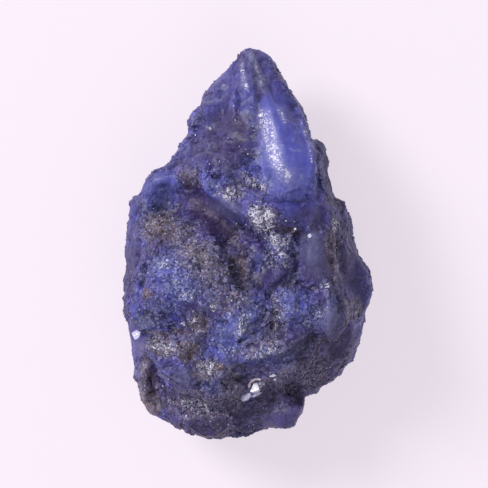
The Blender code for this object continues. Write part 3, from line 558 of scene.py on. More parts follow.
class Wiring:
    """Adds nodes to one tree, feeds their sockets and lays them out from left to right."""

    def __init__(self, tree):
        self.tree = tree
        self.column = 0

    def feed(self, socket, value):
        if isinstance(value, bpy.types.NodeSocket):
            self.tree.links.new(value, socket)
        else:
            socket.default_value = value

    def add(self, kind, inputs=None, **settings):
        node = self.tree.nodes.new(kind)
        node.location = (180 * self.column, 0)
        self.column += 1
        for name, value in settings.items():
            setattr(node, name, value)
        for name, value in (inputs or {}).items():
            self.feed(node.inputs[name], value)
        return node

    def number(self, operation, *values, clamp=False):
        """The result of a sum on plain numbers."""
        inputs = dict(enumerate(values))
        return self.add("ShaderNodeMath", inputs, operation=operation, use_clamp=clamp).outputs[0]

    def times(self, first, second):
        return self.number("MULTIPLY", first, second)

    def total(self, start, *parts):
        """The start plus each of the values times its weight."""
        for value, weight in parts:
            start = self.number("MULTIPLY_ADD", value, weight, start)
        return start

    def vector(self, operation, *values, scale=None):
        """The result of a sum on vectors."""
        inputs = dict(enumerate(values))
        if scale is not None:
            inputs["Scale"] = scale
        return self.add("ShaderNodeVectorMath", inputs, operation=operation).outputs[0]

    def mixed(self, share, first, second, blend="MIX"):
        """Two colours mixed by a share."""
        inputs = {0: share, 6: first, 7: second}
        node = self.add("ShaderNodeMix", inputs, data_type="RGBA", blend_type=blend)
        return node.outputs[2]

    def layered(self, colour, layers):
        """The colour with others laid over it in turn, each by its share."""
        for share, shade in layers:
            colour = self.mixed(share, colour, shade)
        return colour

    def joined(self, x, y, z):
        return self.add("ShaderNodeCombineXYZ", {0: x, 1: y, 2: z}).outputs[0]

    def between(self, share, low, high):
        """A number that goes from low to high as the share goes from 0 to 1."""
        return self.add("ShaderNodeMapRange", {0: share, 3: low, 4: high}).outputs[0]

    def step(self, value, low, high):
        """0 below low, 1 above high and soft between them."""
        inputs = {0: value, 1: low, 2: high}
        return self.add("ShaderNodeMapRange", inputs, interpolation_type="SMOOTHSTEP").outputs[0]

    def attribute(self, name):
        return self.add("ShaderNodeAttribute", attribute_name=name).outputs["Fac"]

    def group(self, tree, inputs):
        return self.add("ShaderNodeGroup", inputs, node_tree=tree).outputs


FLOAT = "NodeSocketFloat"
VECTOR = "NodeSocketVector"
GEOMETRY = "NodeSocketGeometry"

# How far the cells' places are pulled about, in cells
CELL_PULL = 3.6


def new_group(name, inputs, outputs, kind="ShaderNodeTree"):
    """An empty node group with those sockets, its wiring and what it is given."""
    tree = bpy.data.node_groups.new(name, kind)
    for label, socket_kind, value in inputs:
        socket = tree.interface.new_socket(label, in_out="INPUT", socket_type=socket_kind)
        if value is not None:
            socket.default_value = value
    for label, socket_kind in outputs:
        tree.interface.new_socket(label, in_out="OUTPUT", socket_type=socket_kind)
    net = Wiring(tree)
    return tree, net, net.add("NodeGroupInput").outputs


def place_in_cells(net, given):
    """The given place, counted in cells of the given size."""
    return net.vector("SCALE", given["Place"], scale=net.number("DIVIDE", 1.0, given["Size"]))


def uneven_cells(net, given):
    """Random cells of the given size, whose places are pulled about so that they come out uneven."""
    place = place_in_cells(net, given)
    inputs = {"Vector": place, "Scale": 0.31, "Detail": 2.0}
    clouds = net.add("ShaderNodeTexNoise", inputs).outputs["Color"]
    pull = net.vector("SUBTRACT", clouds, (0.5, 0.5, 0.5))
    place = net.vector("ADD", place, net.vector("SCALE", pull, scale=CELL_PULL))
    return net.add("ShaderNodeTexVoronoi", {"Vector": place, "Scale": 1.0}).outputs


def crystal_cells_group():
    """Random crystal cells: two random numbers for each cell, and the distance from its middle."""
    outputs = [("Chance", FLOAT), ("Other Chance", FLOAT), ("Gap", FLOAT)]
    tree, net, given = new_group("crystal_cells", [("Place", VECTOR, None), ("Size", FLOAT, 0.0005)], outputs)
    cells = uneven_cells(net, given)
    split = net.add("ShaderNodeSeparateColor", {0: cells["Color"]}).outputs
    net.add("NodeGroupOutput", {"Chance": split[0], "Other Chance": split[1], "Gap": cells["Distance"]})
    return tree


def tilted_facets_group():
    """Tiny flat facets: every crystal cell of the skin looks its own way, so that it glints."""
    inputs = [
        ("Place", VECTOR, None), ("Normal", VECTOR, None), ("Size", FLOAT, 0.0004), ("Tilt", FLOAT, 0.3)]
    tree, net, given = new_group("tilted_facets", inputs, [("Normal", VECTOR)])
    lean = net.vector("SUBTRACT", uneven_cells(net, given)["Color"], (0.5, 0.5, 0.5))
    lean = net.vector("SCALE", lean, scale=given["Tilt"])
    normal = net.vector("NORMALIZE", net.vector("ADD", given["Normal"], lean))
    net.add("NodeGroupOutput", {"Normal": normal})
    return tree


def mottle_group():
    """Soft uneven patches from 0 to 1."""
    inputs = [("Place", VECTOR, None), ("Size", FLOAT, 0.002), ("Contrast", FLOAT, 1.0)]
    tree, net, given = new_group("mottle", inputs, [("Mask", FLOAT)])
    inputs = {"Vector": place_in_cells(net, given), "Scale": 1.0, "Detail": 4.0, "Roughness": 0.6}
    clouds = net.add("ShaderNodeTexNoise", inputs).outputs[0]
    centred = net.times(net.number("SUBTRACT", clouds, 0.5), given["Contrast"])
    net.add("NodeGroupOutput", {"Mask": net.number("ADD", centred, 0.5, clamp=True)})
    return tree


def shared_group(name, build):
    """The node group of that name, built the first time it is asked for."""
    return bpy.data.node_groups.get(name) or build()


def new_material(name):
    """An empty material with its shader, its wiring and the object's own coordinates."""
    material = bpy.data.materials.new(name)
    material.use_nodes = True
    material.node_tree.nodes.clear()
    net = Wiring(material.node_tree)
    place = net.add("ShaderNodeTexCoord").outputs["Object"]
    return material, net, place


def finish_material(net, inputs):
    """Ends a material in its shader, with those inputs."""
    shader = net.add("ShaderNodeBsdfPrincipled", inputs)
    net.add("ShaderNodeOutputMaterial", {"Surface": shader.outputs[0]})


def sapphire_skin_material(colours):
    """Blue corundum: facets each of its own blue or violet, grains, stains, gloss and glitter, with painted
    glints, painted highlights and painted shade.
    """
    material, net, place = new_material("sapphire_skin")
    cells = shared_group("crystal_cells", crystal_cells_group)
    facets = shared_group("tilted_facets", tilted_facets_group)
    mottle = shared_group("mottle", mottle_group)
    shapes = ("gloss_and_highlight", "crest", "hollow", "sunk", "facet_tone", "facet_tint", "flake_tone", "flake_tint")
    mask = {name: net.attribute(name) for name in (*AREAS, *shapes)}
    rough = net.number("SUBTRACT", 1.0, mask["glassy"])
    coarse = net.number("ADD", mask["grainy"], mask["glittery"])
    coarse = net.number("MULTIPLY_ADD", rough, 0.45, coarse, clamp=True)
    broad, small, fine = (
        net.group(mottle, {"Place": place, "Size": size, "Contrast": contrast})["Mask"]
        for size, contrast in ((0.0042, 2.4), (0.0011, 2.6), (0.0004, 2.6)))
    grains, crumbs, spots = (
        net.group(cells, {"Place": place, "Size": size}) for size in (0.00044, 0.00022, 0.0011))

    # Blues and violets of the clear corundum, then a tone of its own for each facet and flake
    violet_facet = net.times(net.step(mask["facet_tint"], 0.60, 0.66), 0.55)
    clear = net.times(mask["bright"], mask["glassy"])
    cloudy = net.times(net.between(broad, 0.45, 1.1), net.between(small, 0.55, 1.1))
    colour = net.layered(net.mixed(broad, colours.deep_blue, colours.violet_blue), [
        (net.times(small, 0.42), colours.bright_blue),
        (net.times(violet_facet, rough), colours.purple),
        (net.times(mask["bright"], net.between(small, 0.55, 1.0)), colours.bright_blue),
        (net.times(clear, cloudy), colours.clear_blue),
        (net.times(mask["violet"], net.between(small, 0.4, 0.95)), colours.purple),
        (net.times(mask["slate"], net.between(broad, 0.5, 0.95)), colours.slate),
    ])
    tone = 1.0
    for name, strength in (("facet_tone", 0.75), ("flake_tone", 1.1)):
        part = net.times(net.number("SUBTRACT", mask[name], 0.5), rough)
        tone = net.times(tone, net.total(1.0, (part, strength)))
    colour = net.mixed(1.0, colour, net.joined(tone, tone, tone), blend="MULTIPLY")

    # Grains, stains, pale broken edges, pale frost with painted highlights, and painted shade in the grain
    # gaps, hollows, sunk parts and shaded areas
    grain_colour = net.mixed(grains["Chance"], colours.deep_violet, colours.pale_grain)
    blotch = net.step(grains["Other Chance"], 0.35, 0.75)
    earthy = net.mixed(crumbs["Chance"], colours.umber, colours.sand)
    pale_crumbs = net.times(net.step(mask["flake_tint"], 0.74, 1.0), mask["flaky"])
    flake_share = net.times(pale_crumbs, net.between(mask["bright"], 0.35, 0.95))
    spot = net.times(net.step(spots["Gap"], 0.34, 0.16), net.step(spots["Chance"], 0.82, 0.90))
    crumb_light = net.step(crumbs["Other Chance"], 0.62, 0.98)
    crest_light = net.times(net.total(1.0, (mask["glassy"], -0.6)), net.between(fine, 0.05, 0.30))
    gap = net.times(net.step(grains["Gap"], 0.45, 0.80), mask["grainy"])
    colour = net.layered(colour, [
        (net.times(mask["grainy"], net.between(blotch, 0.35, 0.9)), grain_colour),
        (net.times(mask["brown"], net.between(small, 0.4, 0.95)), earthy),
        (net.times(mask["rusty"], net.between(fine, 0.1, 0.8)), colours.rust),
        (net.times(flake_share, rough), colours.pale_blue),
        (net.times(spot, 0.35), colours.pale_blue),
        (net.times(crumb_light, net.between(coarse, 0.10, 0.60)), colours.pale_blue),
        (net.times(mask["crest"], crest_light), colours.pale_blue),
        # Pale frost and painted highlight
        (net.times(mask["frost_and_highlight"], net.between(fine, 0.0, 0.8)), colours.pale_blue),
        # Painted shade: the gaps between grains, the hollows and the sunk parts darkened
        (net.times(gap, 0.35), colours.painted_shade_black),
        (net.times(mask["hollow"], 0.30), colours.painted_shade_black),
        (net.times(mask["sunk"], 0.50), colours.painted_shade_black),
        # Painted shade over the shaded areas
        (net.times(mask["shaded"], 0.6), colours.dusk),
    ])

    # Painted glints: white flecks on the crumbs and along the highlight streaks, and a painted lavender glow
    # along the streaks
    weight = net.total(
        -0.75, (mask["glittery"], 0.78), (coarse, 0.20), (pale_crumbs, 0.25), (mask["shaded"], -0.25))
    # Painted glints: white flecks where crumbs would catch the light, fewer in painted shade
    painted_glint = net.step(net.number("ADD", crumbs["Chance"], weight), 0.30, 0.90)
    streak = net.total(-0.95, (mask["gloss_and_highlight"], 0.95))
    # Painted highlight: white glints along the streaks
    glint = net.step(net.number("ADD", crumbs["Chance"], streak), 0.32, 0.88)
    painted_glint = net.number("MAXIMUM", painted_glint, glint)
    colour = net.layered(colour, [
        (painted_glint, colours.white), (net.times(mask["gloss_and_highlight"], 0.20), colours.lavender)])

    # Gloss, tilted facets and fine relief
    sheen = net.total(
        net.between(coarse, 0.52, 0.24),
        (mask["bright"], -0.10), (mask["slate"], 0.16), (fine, 0.14), (mask["gloss_and_highlight"], 0.06))
    roughness = net.number("SUBTRACT", sheen, net.times(painted_glint, 0.2), clamp=True)
    geometry = net.add("ShaderNodeNewGeometry").outputs
    inputs = {0: net.times(rough, 0.6), 4: geometry["Normal"], 5: geometry["True Normal"]}
    faced = net.add("ShaderNodeMix", inputs, data_type="VECTOR").outputs[1]
    tilt = net.total(net.between(coarse, 0.16, 0.62), (mask["glittery"], 0.6))
    normal = net.group(facets, {"Place": place, "Normal": faced, "Size": 0.0003, "Tilt": tilt})[0]
    height = net.total(small, (fine, 0.5), (gap, -0.8))
    inputs = {
        "Height": height, "Normal": normal, "Distance": 0.0001, "Strength": net.between(coarse, 0.15, 0.5)}
    bump = net.add("ShaderNodeBump", inputs).outputs[0]
    coat = net.total(0.0, (mask["gloss_and_highlight"], 0.22), (mask["glassy"], 0.08))
    finish_material(net, {
        "Base Color": colour, "Roughness": roughness, "Normal": bump, "IOR": 1.77,
        "Specular IOR Level": 0.34, "Coat Weight": coat, "Coat Roughness": 0.16})
    return material


def mica_material(name, dull, bright):
    """Pearly mica: plates between a dull and a bright colour, with glassy faces."""
    material, net, place = new_material(name)
    mottle = shared_group("mottle", mottle_group)
    facets = shared_group("tilted_facets", tilted_facets_group)
    cloud = net.group(mottle, {"Place": place, "Size": 0.0008, "Contrast": 3.0})["Mask"]
    colour = net.mixed(cloud, dull, bright)
    geometry = net.add("ShaderNodeNewGeometry").outputs["Normal"]
    inputs = {"Place": place, "Normal": geometry, "Size": 0.0004, "Tilt": 0.25}
    normal = net.group(facets, inputs)[0]
    roughness = net.between(cloud, 0.34, 0.20)
    finish_material(net, {"Base Color": colour, "Roughness": roughness, "Normal": normal, "IOR": 1.6})
    return material


def floor_material(colour, glow):
    """Plain pale paper with the faintest tooth, lit a little from below."""
    material, net, place = new_material("pale_paper")
    mottle = shared_group("mottle", mottle_group)
    tooth = net.group(mottle, {"Place": place, "Size": 0.0015, "Contrast": 1.0})["Mask"]
    shade = tuple(0.985 * part for part in colour[:3]) + (1.0,)
    paper = net.mixed(tooth, colour, shade)
    bump = net.add("ShaderNodeBump", {"Height": tooth, "Strength": 0.05, "Distance": 0.0001}).outputs[0]
    finish_material(net, {
        "Base Color": paper, "Roughness": 0.9, "Normal": bump, "Emission Color": paper,
        "Emission Strength": glow})
    return material


def scatter_tree():
    """A node tree that sprinkles thin five-sided plates over a skin, each with its own tone."""
    sockets = [
        ("Skin", GEOMETRY, None),
        ("Density", FLOAT, 1.0),
        ("Smallest", FLOAT, 0.0001),
        ("Largest", FLOAT, 0.0002),
        ("Thickness", FLOAT, 0.00004),
        ("Lean", FLOAT, 0.5),
        ("Sink", FLOAT, 0.0),
        ("Seed", "NodeSocketInt", 0),
        ("Material", "NodeSocketMaterial", None),
    ]
    tree, net, given = new_group("scatter", sockets, [("Plates", GEOMETRY)], "GeometryNodeTree")
    share = net.add("GeometryNodeInputNamedAttribute", {"Name": "share"}, data_type="FLOAT")
    density = net.times(share.outputs[0], given["Density"])
    inputs = {"Mesh": given["Skin"], "Density": density, "Seed": given["Seed"]}
    scattered = net.add("GeometryNodeDistributePointsOnFaces", inputs).outputs
    offset = net.vector("SCALE", scattered["Normal"], scale=net.times(given["Sink"], -1.0))
    inputs = {"Geometry": scattered["Points"], "Offset": offset}
    points = net.add("GeometryNodeSetPosition", inputs).outputs[0]
    for label, seed in (("flake_tone", 3), ("flake_tint", 5)):
        chance = net.add("FunctionNodeRandomValue", {"Seed": seed}, data_type="FLOAT").outputs[1]
        inputs = {"Geometry": points, "Name": label, "Value": chance}
        points = net.add("GeometryNodeStoreNamedAttribute", inputs, data_type="FLOAT").outputs[0]
    depth = net.number("DIVIDE", given["Thickness"], given["Smallest"])
    plate = net.add("GeometryNodeMeshCylinder", {"Vertices": 5, "Radius": 1.0, "Depth": depth})

    high = net.joined(given["Lean"], given["Lean"], 3.0)
    low = net.vector("SCALE", high, scale=-1.0)
    inputs = {0: low, 1: high, "Seed": given["Seed"]}
    lean = net.add("FunctionNodeRandomValue", inputs, data_type="FLOAT_VECTOR").outputs[0]
    turn = net.add("FunctionNodeEulerToRotation", {0: lean}).outputs[0]
    inputs = {0: scattered["Rotation"], 1: turn}
    rotation = net.add("FunctionNodeRotateRotation", inputs, rotation_space="LOCAL").outputs[0]
    small, large = given["Smallest"], given["Largest"]
    inputs = {0: net.joined(small, small, small), 1: net.joined(large, large, small), "Seed": 7}
    size = net.add("FunctionNodeRandomValue", inputs, data_type="FLOAT_VECTOR").outputs[0]
    inputs = {"Points": points, "Instance": plate.outputs["Mesh"], "Rotation": rotation, "Scale": size}
    placed = net.add("GeometryNodeInstanceOnPoints", inputs).outputs[0]
    realized = net.add("GeometryNodeRealizeInstances", {0: placed}).outputs[0]
    inputs = {"Geometry": realized, "Material": given["Material"]}
    net.add("NodeGroupOutput", {0: net.add("GeometryNodeSetMaterial", inputs).outputs[0]})
    return tree


def set_inputs(modifier, values):
    """Sets a Geometry Nodes modifier's inputs by the names that its tree gives them."""
    for item in modifier.node_group.interface.items_tree:
        if item.item_type == "SOCKET" and item.in_out == "INPUT" and item.name in values:
            modifier[item.identifier] = values[item.name]


def declare(piece):
    """Hangs a finished piece on the stone's body, so that it moves with it."""
    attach(piece, BODY)


def a_colour(name, description, *parts):
    return FloatVectorProperty(
        name=name, description=description, subtype="COLOR", size=4, default=(*parts, 1.0))


def a_length(name, description, metres):
    return FloatProperty(
        name=name, description=description, unit="LENGTH", precision=6, default=metres)


def a_number(name, description, value, subtype="NONE"):
    return FloatProperty(name=name, description=description, subtype=subtype, default=value)


class SapphireColours(bpy.types.PropertyGroup):
    """Colours of the stone and its mica."""

    deep_blue: a_colour("Deep blue", "Darkest blue of the clear corundum", 0.013, 0.008, 0.080)
    violet_blue: a_colour("Violet blue", "Common colour of the broken skin", 0.050, 0.029, 0.240)
    bright_blue: a_colour("Bright blue", "Blue of the glassy boss and the cleaner faces", 0.074, 0.092, 0.450)
    clear_blue: a_colour("Clear blue", "Light blue that comes up in the glassy boss", 0.105, 0.112, 0.560)
    # Pale blue is also painted as highlights over the areas of frost
    pale_blue: a_colour("Pale blue", "Crushed edges and crumbs", 0.320, 0.345, 0.640)
    purple: a_colour("Purple", "Violet-red tint of the valley and some knobs", 0.066, 0.032, 0.150)
    slate: a_colour("Slate", "Grey faces of the right flank", 0.072, 0.060, 0.145)
    deep_violet: a_colour("Deep violet", "Dark grains", 0.018, 0.011, 0.032)
    pale_grain: a_colour("Pale grain", "Light grains", 0.600, 0.480, 0.580)
    umber: a_colour("Umber", "Dark earthy stain", 0.040, 0.022, 0.026)
    sand: a_colour("Sand", "Light earthy stain", 0.460, 0.350, 0.290)
    rust: a_colour("Rust", "Orange-brown iron stain", 0.200, 0.070, 0.042)
    # Painted shade for the gaps between grains, the hollows and the sunk parts
    painted_shade_black: a_colour("Near black", "Depth of the cracks and hollows", 0.009, 0.006, 0.022)
    dusk: a_colour("Dusk", "Deep violet of the shaded valley and pits", 0.032, 0.011, 0.048)
    silver: a_colour("Silver", "Mica", 0.740, 0.730, 0.880)
    # Lavender is also painted as a glow along the highlight streaks
    lavender: a_colour("Lavender", "Shaded faces of the large mica plates", 0.64, 0.62, 1.00)
    cream: a_colour("Cream", "Pale rim round the large mica plate", 0.88, 0.76, 0.75)
    # White is also painted as glints on the skin
    white: a_colour("White", "Brightest mica", 0.900, 0.890, 1.000)


class SapphireSizes(bpy.types.PropertyGroup):
    """Sizes of the stone's skin and its mica."""

    grid: a_length("Grid", "Spacing of the grid on which the skin is rebuilt", 0.00015)
    triangles: IntProperty(
        name="Triangles", description="Triangles kept on the finished skin", default=196000)
    speck_density: a_number("Speck density", "Specks on a square metre of fully glittering skin", 8e6)
    speck_smallest: a_length("Smallest speck", "Radius of the smallest mica specks", 0.00006)
    speck_largest: a_length("Largest speck", "Radius of the largest mica specks", 0.00016)
    speck_thickness: a_length("Speck thickness", "Thickness of the smallest mica specks", 0.00003)
    speck_lean: a_number("Speck lean", "How far the specks lean out of the skin", 0.6, subtype="ANGLE")
    speck_sink: a_length("Speck sink", "How far the specks' middles lie below the skin", 0.0)
    flake_density: a_number("Flake density", "Flakes on a square metre of flaky skin", 1.0e7)
    flake_smallest: a_length("Smallest flake", "Radius of the smallest corundum flakes", 0.00016)
    flake_largest: a_length("Largest flake", "Radius of the largest corundum flakes", 0.00042)
    flake_thickness: a_length("Flake thickness", "Thickness of the corundum flakes", 0.00010)
    flake_lean: a_number("Flake lean", "How far the flakes lean out of the skin", 0.24, subtype="ANGLE")
    flake_sink: a_length("Flake sink", "How far the flakes' middles lie below the skin", 0.00002)
    grain_density: a_number("Grain density", "Grains on a square metre of grainy skin", 1.8e7)
    grain_smallest: a_length("Smallest grain", "Radius of the smallest grains", 0.0001)
    grain_largest: a_length("Largest grain", "Radius of the largest grains", 0.00021)
    grain_thickness: a_length("Grain thickness", "Thickness of the grains", 0.00024)
    grain_lean: a_number("Grain lean", "How far the grains lean out of the skin", 1.5, subtype="ANGLE")
    grain_sink: a_length("Grain sink", "How far the grains' middles lie below the skin", 0.00007)
    seed: IntProperty(name="Seed", description="Which scatter is made", default=11)
    plate_thickness: a_length("Plate thickness", "Thickness of the large mica plates", 0.00045)


class StudioSettings(bpy.types.PropertyGroup):
    """Floor, light and camera round the stone."""

    floor_size: a_length("Floor size", "Side of the square floor", 1.6)
    floor_colour: a_colour("Floor colour", "Pale lavender paper", 0.400, 0.364, 0.397)
    floor_glow: a_number("Floor glow", "How much light comes up through the paper", 1.61)
    camera_height: a_length("Camera height", "Height of the camera above the floor", 0.62)
    view_width: a_length("View width", "Width that the camera sees at the stone's widest level", 0.0623)
    sky: a_number("Sky", "Strength of the even light", 0.30)


def read_finishes(mesh):
    """The finishes stored at the skin's points, with how far each point is clear of the seat."""
    names = ("glittery", "grainy", "glassy", "sunk", "flaky", "cleared")
    read = {name: read_numbers(mesh.attributes[name].data, "value") for name in names}
    skin = Skin(mesh)
    read["clear"] = smooth_step(0.5, 1.4, skin.points[:, 2]) * (1.0 - read["cleared"])
    read["clear"] *= 0.3 + 0.7 * smooth_step(-0.1, 0.45, skin.normals()[:, 2])
    return read


SCATTER_SIZES = ("density", "smallest", "largest", "thickness", "lean", "sink")


def scatter(name, kind, order, shares, sizes, material):
    """Makes a piece of plates of one kind, strewn over the skin by the shares at its points."""
    values = {size.capitalize(): getattr(sizes, kind + "_" + size) for size in SCATTER_SIZES}
    values.update({"Seed": sizes.seed + order, "Material": material})
    mesh = bpy.data.objects["sapphire_skin"].data.copy()
    store_numbers(mesh, "share", shares)
    helper = object_of(name + "_bed", mesh)
    modifier = helper.modifiers.new("Scatter", "NODES")
    modifier.node_group = bpy.data.node_groups.get("scatter") or scatter_tree()
    set_inputs(modifier, values)
    plates = evaluated_mesh(helper)
    bpy.data.objects.remove(helper, do_unlink=True)
    if not plates.polygons:
        raise RuntimeError("nothing was scattered for " + name)
    plates.name = name
    plates.attributes.remove(plates.attributes["share"])
    declare(object_of(name, plates))


class SAPPHIRE_OT_stone(bpy.types.Operator):
    """Rebuild the stone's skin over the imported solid, carve it and give it its finish"""

    bl_idname = "sapphire.stone"
    bl_label = "Stone"

    def execute(self, context):
        sizes = context.scene.sapphire_sizes
        noise.seed_set(sizes.seed)
        solid = merged_copy(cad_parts[STONE_NODE])
        mesh = through_modifier("regular_skin", solid, "REMESH", mode="VOXEL", voxel_size=sizes.grid)
        carve(Skin(mesh))
        mesh.calc_loop_triangles()
        ratio = min(1.0, sizes.triangles / len(mesh.loop_triangles))
        mesh = through_modifier("thinned_skin", mesh, "DECIMATE", ratio=ratio)
        if not mesh.polygons:
            raise RuntimeError("the stone's skin came out empty")
        mesh.name = "sapphire_skin"
        mesh.shade_smooth()
        store_finishes(Skin(mesh))
        mesh.materials.clear()
        mesh.materials.append(sapphire_skin_material(context.scene.sapphire_colours))
        piece = object_of("sapphire_skin", mesh)
        declare(piece)
        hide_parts(STONE_NODE)
        return {"FINISHED"}


class SAPPHIRE_OT_flakes(bpy.types.Operator):
    """Lay broken corundum flakes over the rough parts of the skin"""

    bl_idname = "sapphire.flakes"
    bl_label = "Flakes"

    def execute(self, context):
        skin = bpy.data.objects["sapphire_skin"].data
        read = read_finishes(skin)
        shares = read["flaky"] * (1.0 - 0.97 * read["glassy"]) * (1.0 - 0.55 * read["grainy"])
        shares = shares * read["clear"]
        scatter("corundum_flakes", "flake", 0, shares, context.scene.sapphire_sizes, skin.materials[0])
        return {"FINISHED"}


class SAPPHIRE_OT_grains(bpy.types.Operator):
    """Set small angular grains in the grainy parts of the skin"""

    bl_idname = "sapphire.grains"
    bl_label = "Grains"

    def execute(self, context):
        skin = bpy.data.objects["sapphire_skin"].data
        read = read_finishes(skin)
        shares = np.maximum(read["grainy"] ** 1.5, 0.05 * read["flaky"]) * read["clear"]
        scatter("corundum_grains", "grain", 1, shares, context.scene.sapphire_sizes, skin.materials[0])
        return {"FINISHED"}


class SAPPHIRE_OT_mica_specks(bpy.types.Operator):
    """Sprinkle mica specks over the stone's skin"""

    bl_idname = "sapphire.mica_specks"
    bl_label = "Mica specks"

    def execute(self, context):
        colours = context.scene.sapphire_colours
        read = read_finishes(bpy.data.objects["sapphire_skin"].data)
        shares = 0.03 + 0.14 * read["grainy"] + 0.60 * read["glittery"]
        shares *= (1.0 - 0.93 * read["glassy"]) * (1.0 - 0.5 * read["sunk"]) * read["clear"]
        mica = mica_material("speck_mica", colours.pale_blue, colours.silver)
        scatter("mica_specks", "speck", 2, shares, context.scene.sapphire_sizes, mica)
        return {"FINISHED"}


def close_rings(cage, rings):
    """Faces between each ring and the next, and over both ends."""
    for before, after in zip(rings[:-1], rings[1:]):
        for spot in range(len(before)):
            other = (spot + 1) % len(before)
            cage.faces.new((before[spot], before[other], after[other], after[spot]))
    cage.faces.new(rings[-1])
    cage.faces.new(rings[0][::-1])


def plate_mesh(cage, corners, thickness):
    """One angular plate: its corners in plan, a smaller lifted top and a base sunk in the skin."""
    rings = []
    for scale, height in ((PLATE_SWELL, -thickness), (PLATE_SWELL, 0.0), (PLATE_TOP, 0.3 * thickness)):
        rings.append([cage.verts.new((x * scale, y * scale, height)) for x, y in corners])
    close_rings(cage, rings)
    return [vertex for ring in rings for vertex in ring]


def rim_mesh(cage, spots, half_width, height):
    """A rounded rim along those spots on the skin, with a flat foot sunk in it."""
    rings = []
    for spot, place in enumerate(spots):
        along = spots[min(spot + 1, len(spots) - 1)] - spots[max(spot - 1, 0)]
        side = along.cross(Vector((0, 0, 1))).normalized() * (1.0 if spot % 2 else 0.7)
        rings.append([
            cage.verts.new(place + side * across * half_width + Vector((0, 0, up * height)))
            for across, up in RIM_PROFILE])
    close_rings(cage, rings)


class SAPPHIRE_OT_mica_plates(bpy.types.Operator):
    """Set the large mica plates and their pale rim in the skin"""

    bl_idname = "sapphire.mica_plates"
    bl_label = "Mica plates"

    def execute(self, context):
        sizes = context.scene.sapphire_sizes
        colours = context.scene.sapphire_colours
        self.skin = self.skin_tree()
        materials = {
            "white_mica": mica_material("white_mica", colours.silver, colours.white),
            "lavender_mica": mica_material("lavender_mica", colours.lavender, colours.white),
            "cream_mica": mica_material("cream_mica", colours.pale_grain, colours.cream),
        }
        slots = list(materials)
        cage = bmesh.new()
        for corners, proud, lean, finish in PLATES:
            x, y = np.mean(corners, axis=0)
            ring = [((a - x) * MM, (b - y) * MM) for a, b in corners]
            placed = plate_mesh(cage, ring, sizes.plate_thickness)
            facing = Vector((lean[0], lean[1], 1.0)).normalized()
            turn = Vector((0, 0, 1)).rotation_difference(facing).to_matrix().to_4x4()
            middle = Matrix.Translation(self.spot_on_skin(x, y) + facing * proud * MM)
            bmesh.ops.transform(cage, verts=placed, matrix=middle @ turn)
            self.paint(cage, slots.index(finish))
        rim_mesh(cage, [self.spot_on_skin(x, y) for x, y in RIM], RIM_HALF_WIDTH * MM, RIM_HEIGHT * MM)
        self.paint(cage, slots.index("cream_mica"))
        bmesh.ops.recalc_face_normals(cage, faces=cage.faces[:])
        mesh = bpy.data.meshes.new("mica_plates")
        for material in materials.values():
            mesh.materials.append(material)
        cage.to_mesh(mesh)
        cage.free()
        declare(object_of("mica_plates", mesh))
        return {"FINISHED"}

    def paint(self, cage, slot):
        """Gives that material slot to the faces that have none yet."""
        for face in cage.faces:
            if not face.tag:
                face.material_index = slot
                face.tag = True

    def skin_tree(self):
        mesh = bpy.data.objects["sapphire_skin"].data
        corners = [vertex.co for vertex in mesh.vertices]
        return BVHTree.FromPolygons(corners, [polygon.vertices for polygon in mesh.polygons])

    def spot_on_skin(self, x, y):
        """The place on the skin straight under a place of the tables' plan."""
        above = Vector((x - ORIGIN_IN_PLAN[0], y - ORIGIN_IN_PLAN[1], 1.0 / MM)) * MM
        spot = self.skin.ray_cast(above, Vector((0, 0, -1)))[0]
        if spot is None:
            raise RuntimeError("a mica plate has no skin under it")
        return spot


def area_light(name, place, size, power, colour):
    light = bpy.data.lights.new(name, "AREA")
    light.size = size
    light.energy = power
    light.color = colour
    lamp = object_of(name, light)
    lamp.location = place
    lamp.rotation_euler = (Vector(LIT_POINT) - Vector(place)).to_track_quat("-Z", "Y").to_euler()


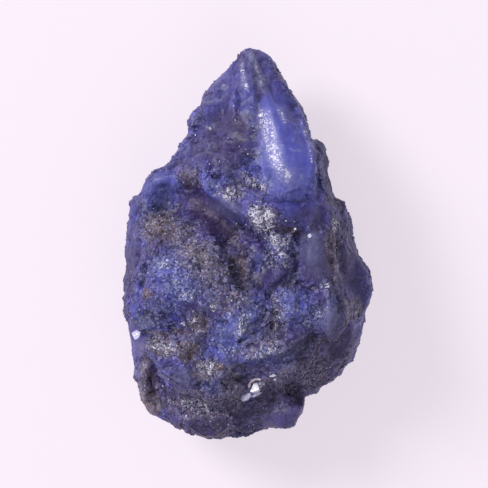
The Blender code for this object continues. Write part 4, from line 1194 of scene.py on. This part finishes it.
class SAPPHIRE_OT_studio(bpy.types.Operator):
    """Put a pale floor, soft light and a camera that looks straight down round the stone"""

    bl_idname = "sapphire.studio"
    bl_label = "Studio"

    def execute(self, context):
        settings = context.scene.sapphire_studio
        self.lay_floor(settings)
        self.light(context.scene, settings)
        self.place_camera(context.scene, settings)
        context.scene.view_settings.view_transform = "Standard"
        return {"FINISHED"}

    def lay_floor(self, settings):
        cage = bmesh.new()
        bmesh.ops.create_grid(cage, x_segments=1, y_segments=1, size=settings.floor_size / 2)
        mesh = bpy.data.meshes.new("floor")
        cage.to_mesh(mesh)
        cage.free()
        mesh.materials.append(floor_material(settings.floor_colour, settings.floor_glow))
        object_of("floor", mesh)

    def light(self, scene, settings):
        world = bpy.data.worlds.new("even_light")
        world.use_nodes = True
        background = world.node_tree.nodes["Background"]
        background.inputs["Color"].default_value = SKY_COLOUR
        background.inputs["Strength"].default_value = settings.sky
        scene.world = world
        for light in LIGHTS:
            area_light(*light)

    def place_camera(self, scene, settings):
        camera = bpy.data.cameras.new("camera")
        eye = object_of("camera", camera)
        eye.location = (VIEW_CENTRE_X, 0.0, settings.camera_height)
        camera.lens = camera.sensor_width * (settings.camera_height - WIDEST_LEVEL) / settings.view_width
        camera.clip_start = 0.01
        scene.camera = eye


class SAPPHIRE_PT_panel(bpy.types.Panel):
    """Lists the steps that make the stone"""

    bl_label = "Rough sapphire"
    bl_idname = "SAPPHIRE_PT_panel"
    bl_space_type = "VIEW_3D"
    bl_region_type = "UI"
    bl_category = "Sapphire"

    def draw(self, context):
        for step in STEPS:
            self.layout.operator(step.bl_idname)
        for name in ("sapphire_sizes", "sapphire_colours", "sapphire_studio"):
            settings = getattr(context.scene, name)
            box = self.layout.box()
            for key in settings.bl_rna.properties.keys():
                if key not in ("rna_type", "name"):
                    box.prop(settings, key)


STEPS = (
    SAPPHIRE_OT_stone,
    SAPPHIRE_OT_flakes,
    SAPPHIRE_OT_grains,
    SAPPHIRE_OT_mica_specks,
    SAPPHIRE_OT_mica_plates,
    SAPPHIRE_OT_studio,
)
SETTINGS = {
    "sapphire_sizes": SapphireSizes,
    "sapphire_colours": SapphireColours,
    "sapphire_studio": StudioSettings,
}


def register():
    for name, kind in SETTINGS.items():
        bpy.utils.register_class(kind)
        setattr(bpy.types.Scene, name, PointerProperty(type=kind))
    for kind in (*STEPS, SAPPHIRE_PT_panel):
        bpy.utils.register_class(kind)


def unregister():
    for kind in reversed((*STEPS, SAPPHIRE_PT_panel)):
        bpy.utils.unregister_class(kind)
    for name, kind in SETTINGS.items():
        delattr(bpy.types.Scene, name)
        bpy.utils.unregister_class(kind)


def main():
    register()
    bpy.ops.sapphire.stone()
    bpy.ops.sapphire.flakes()
    bpy.ops.sapphire.grains()
    bpy.ops.sapphire.mica_specks()
    bpy.ops.sapphire.mica_plates()
    bpy.ops.sapphire.studio()


if __name__ == "__main__":
    main()
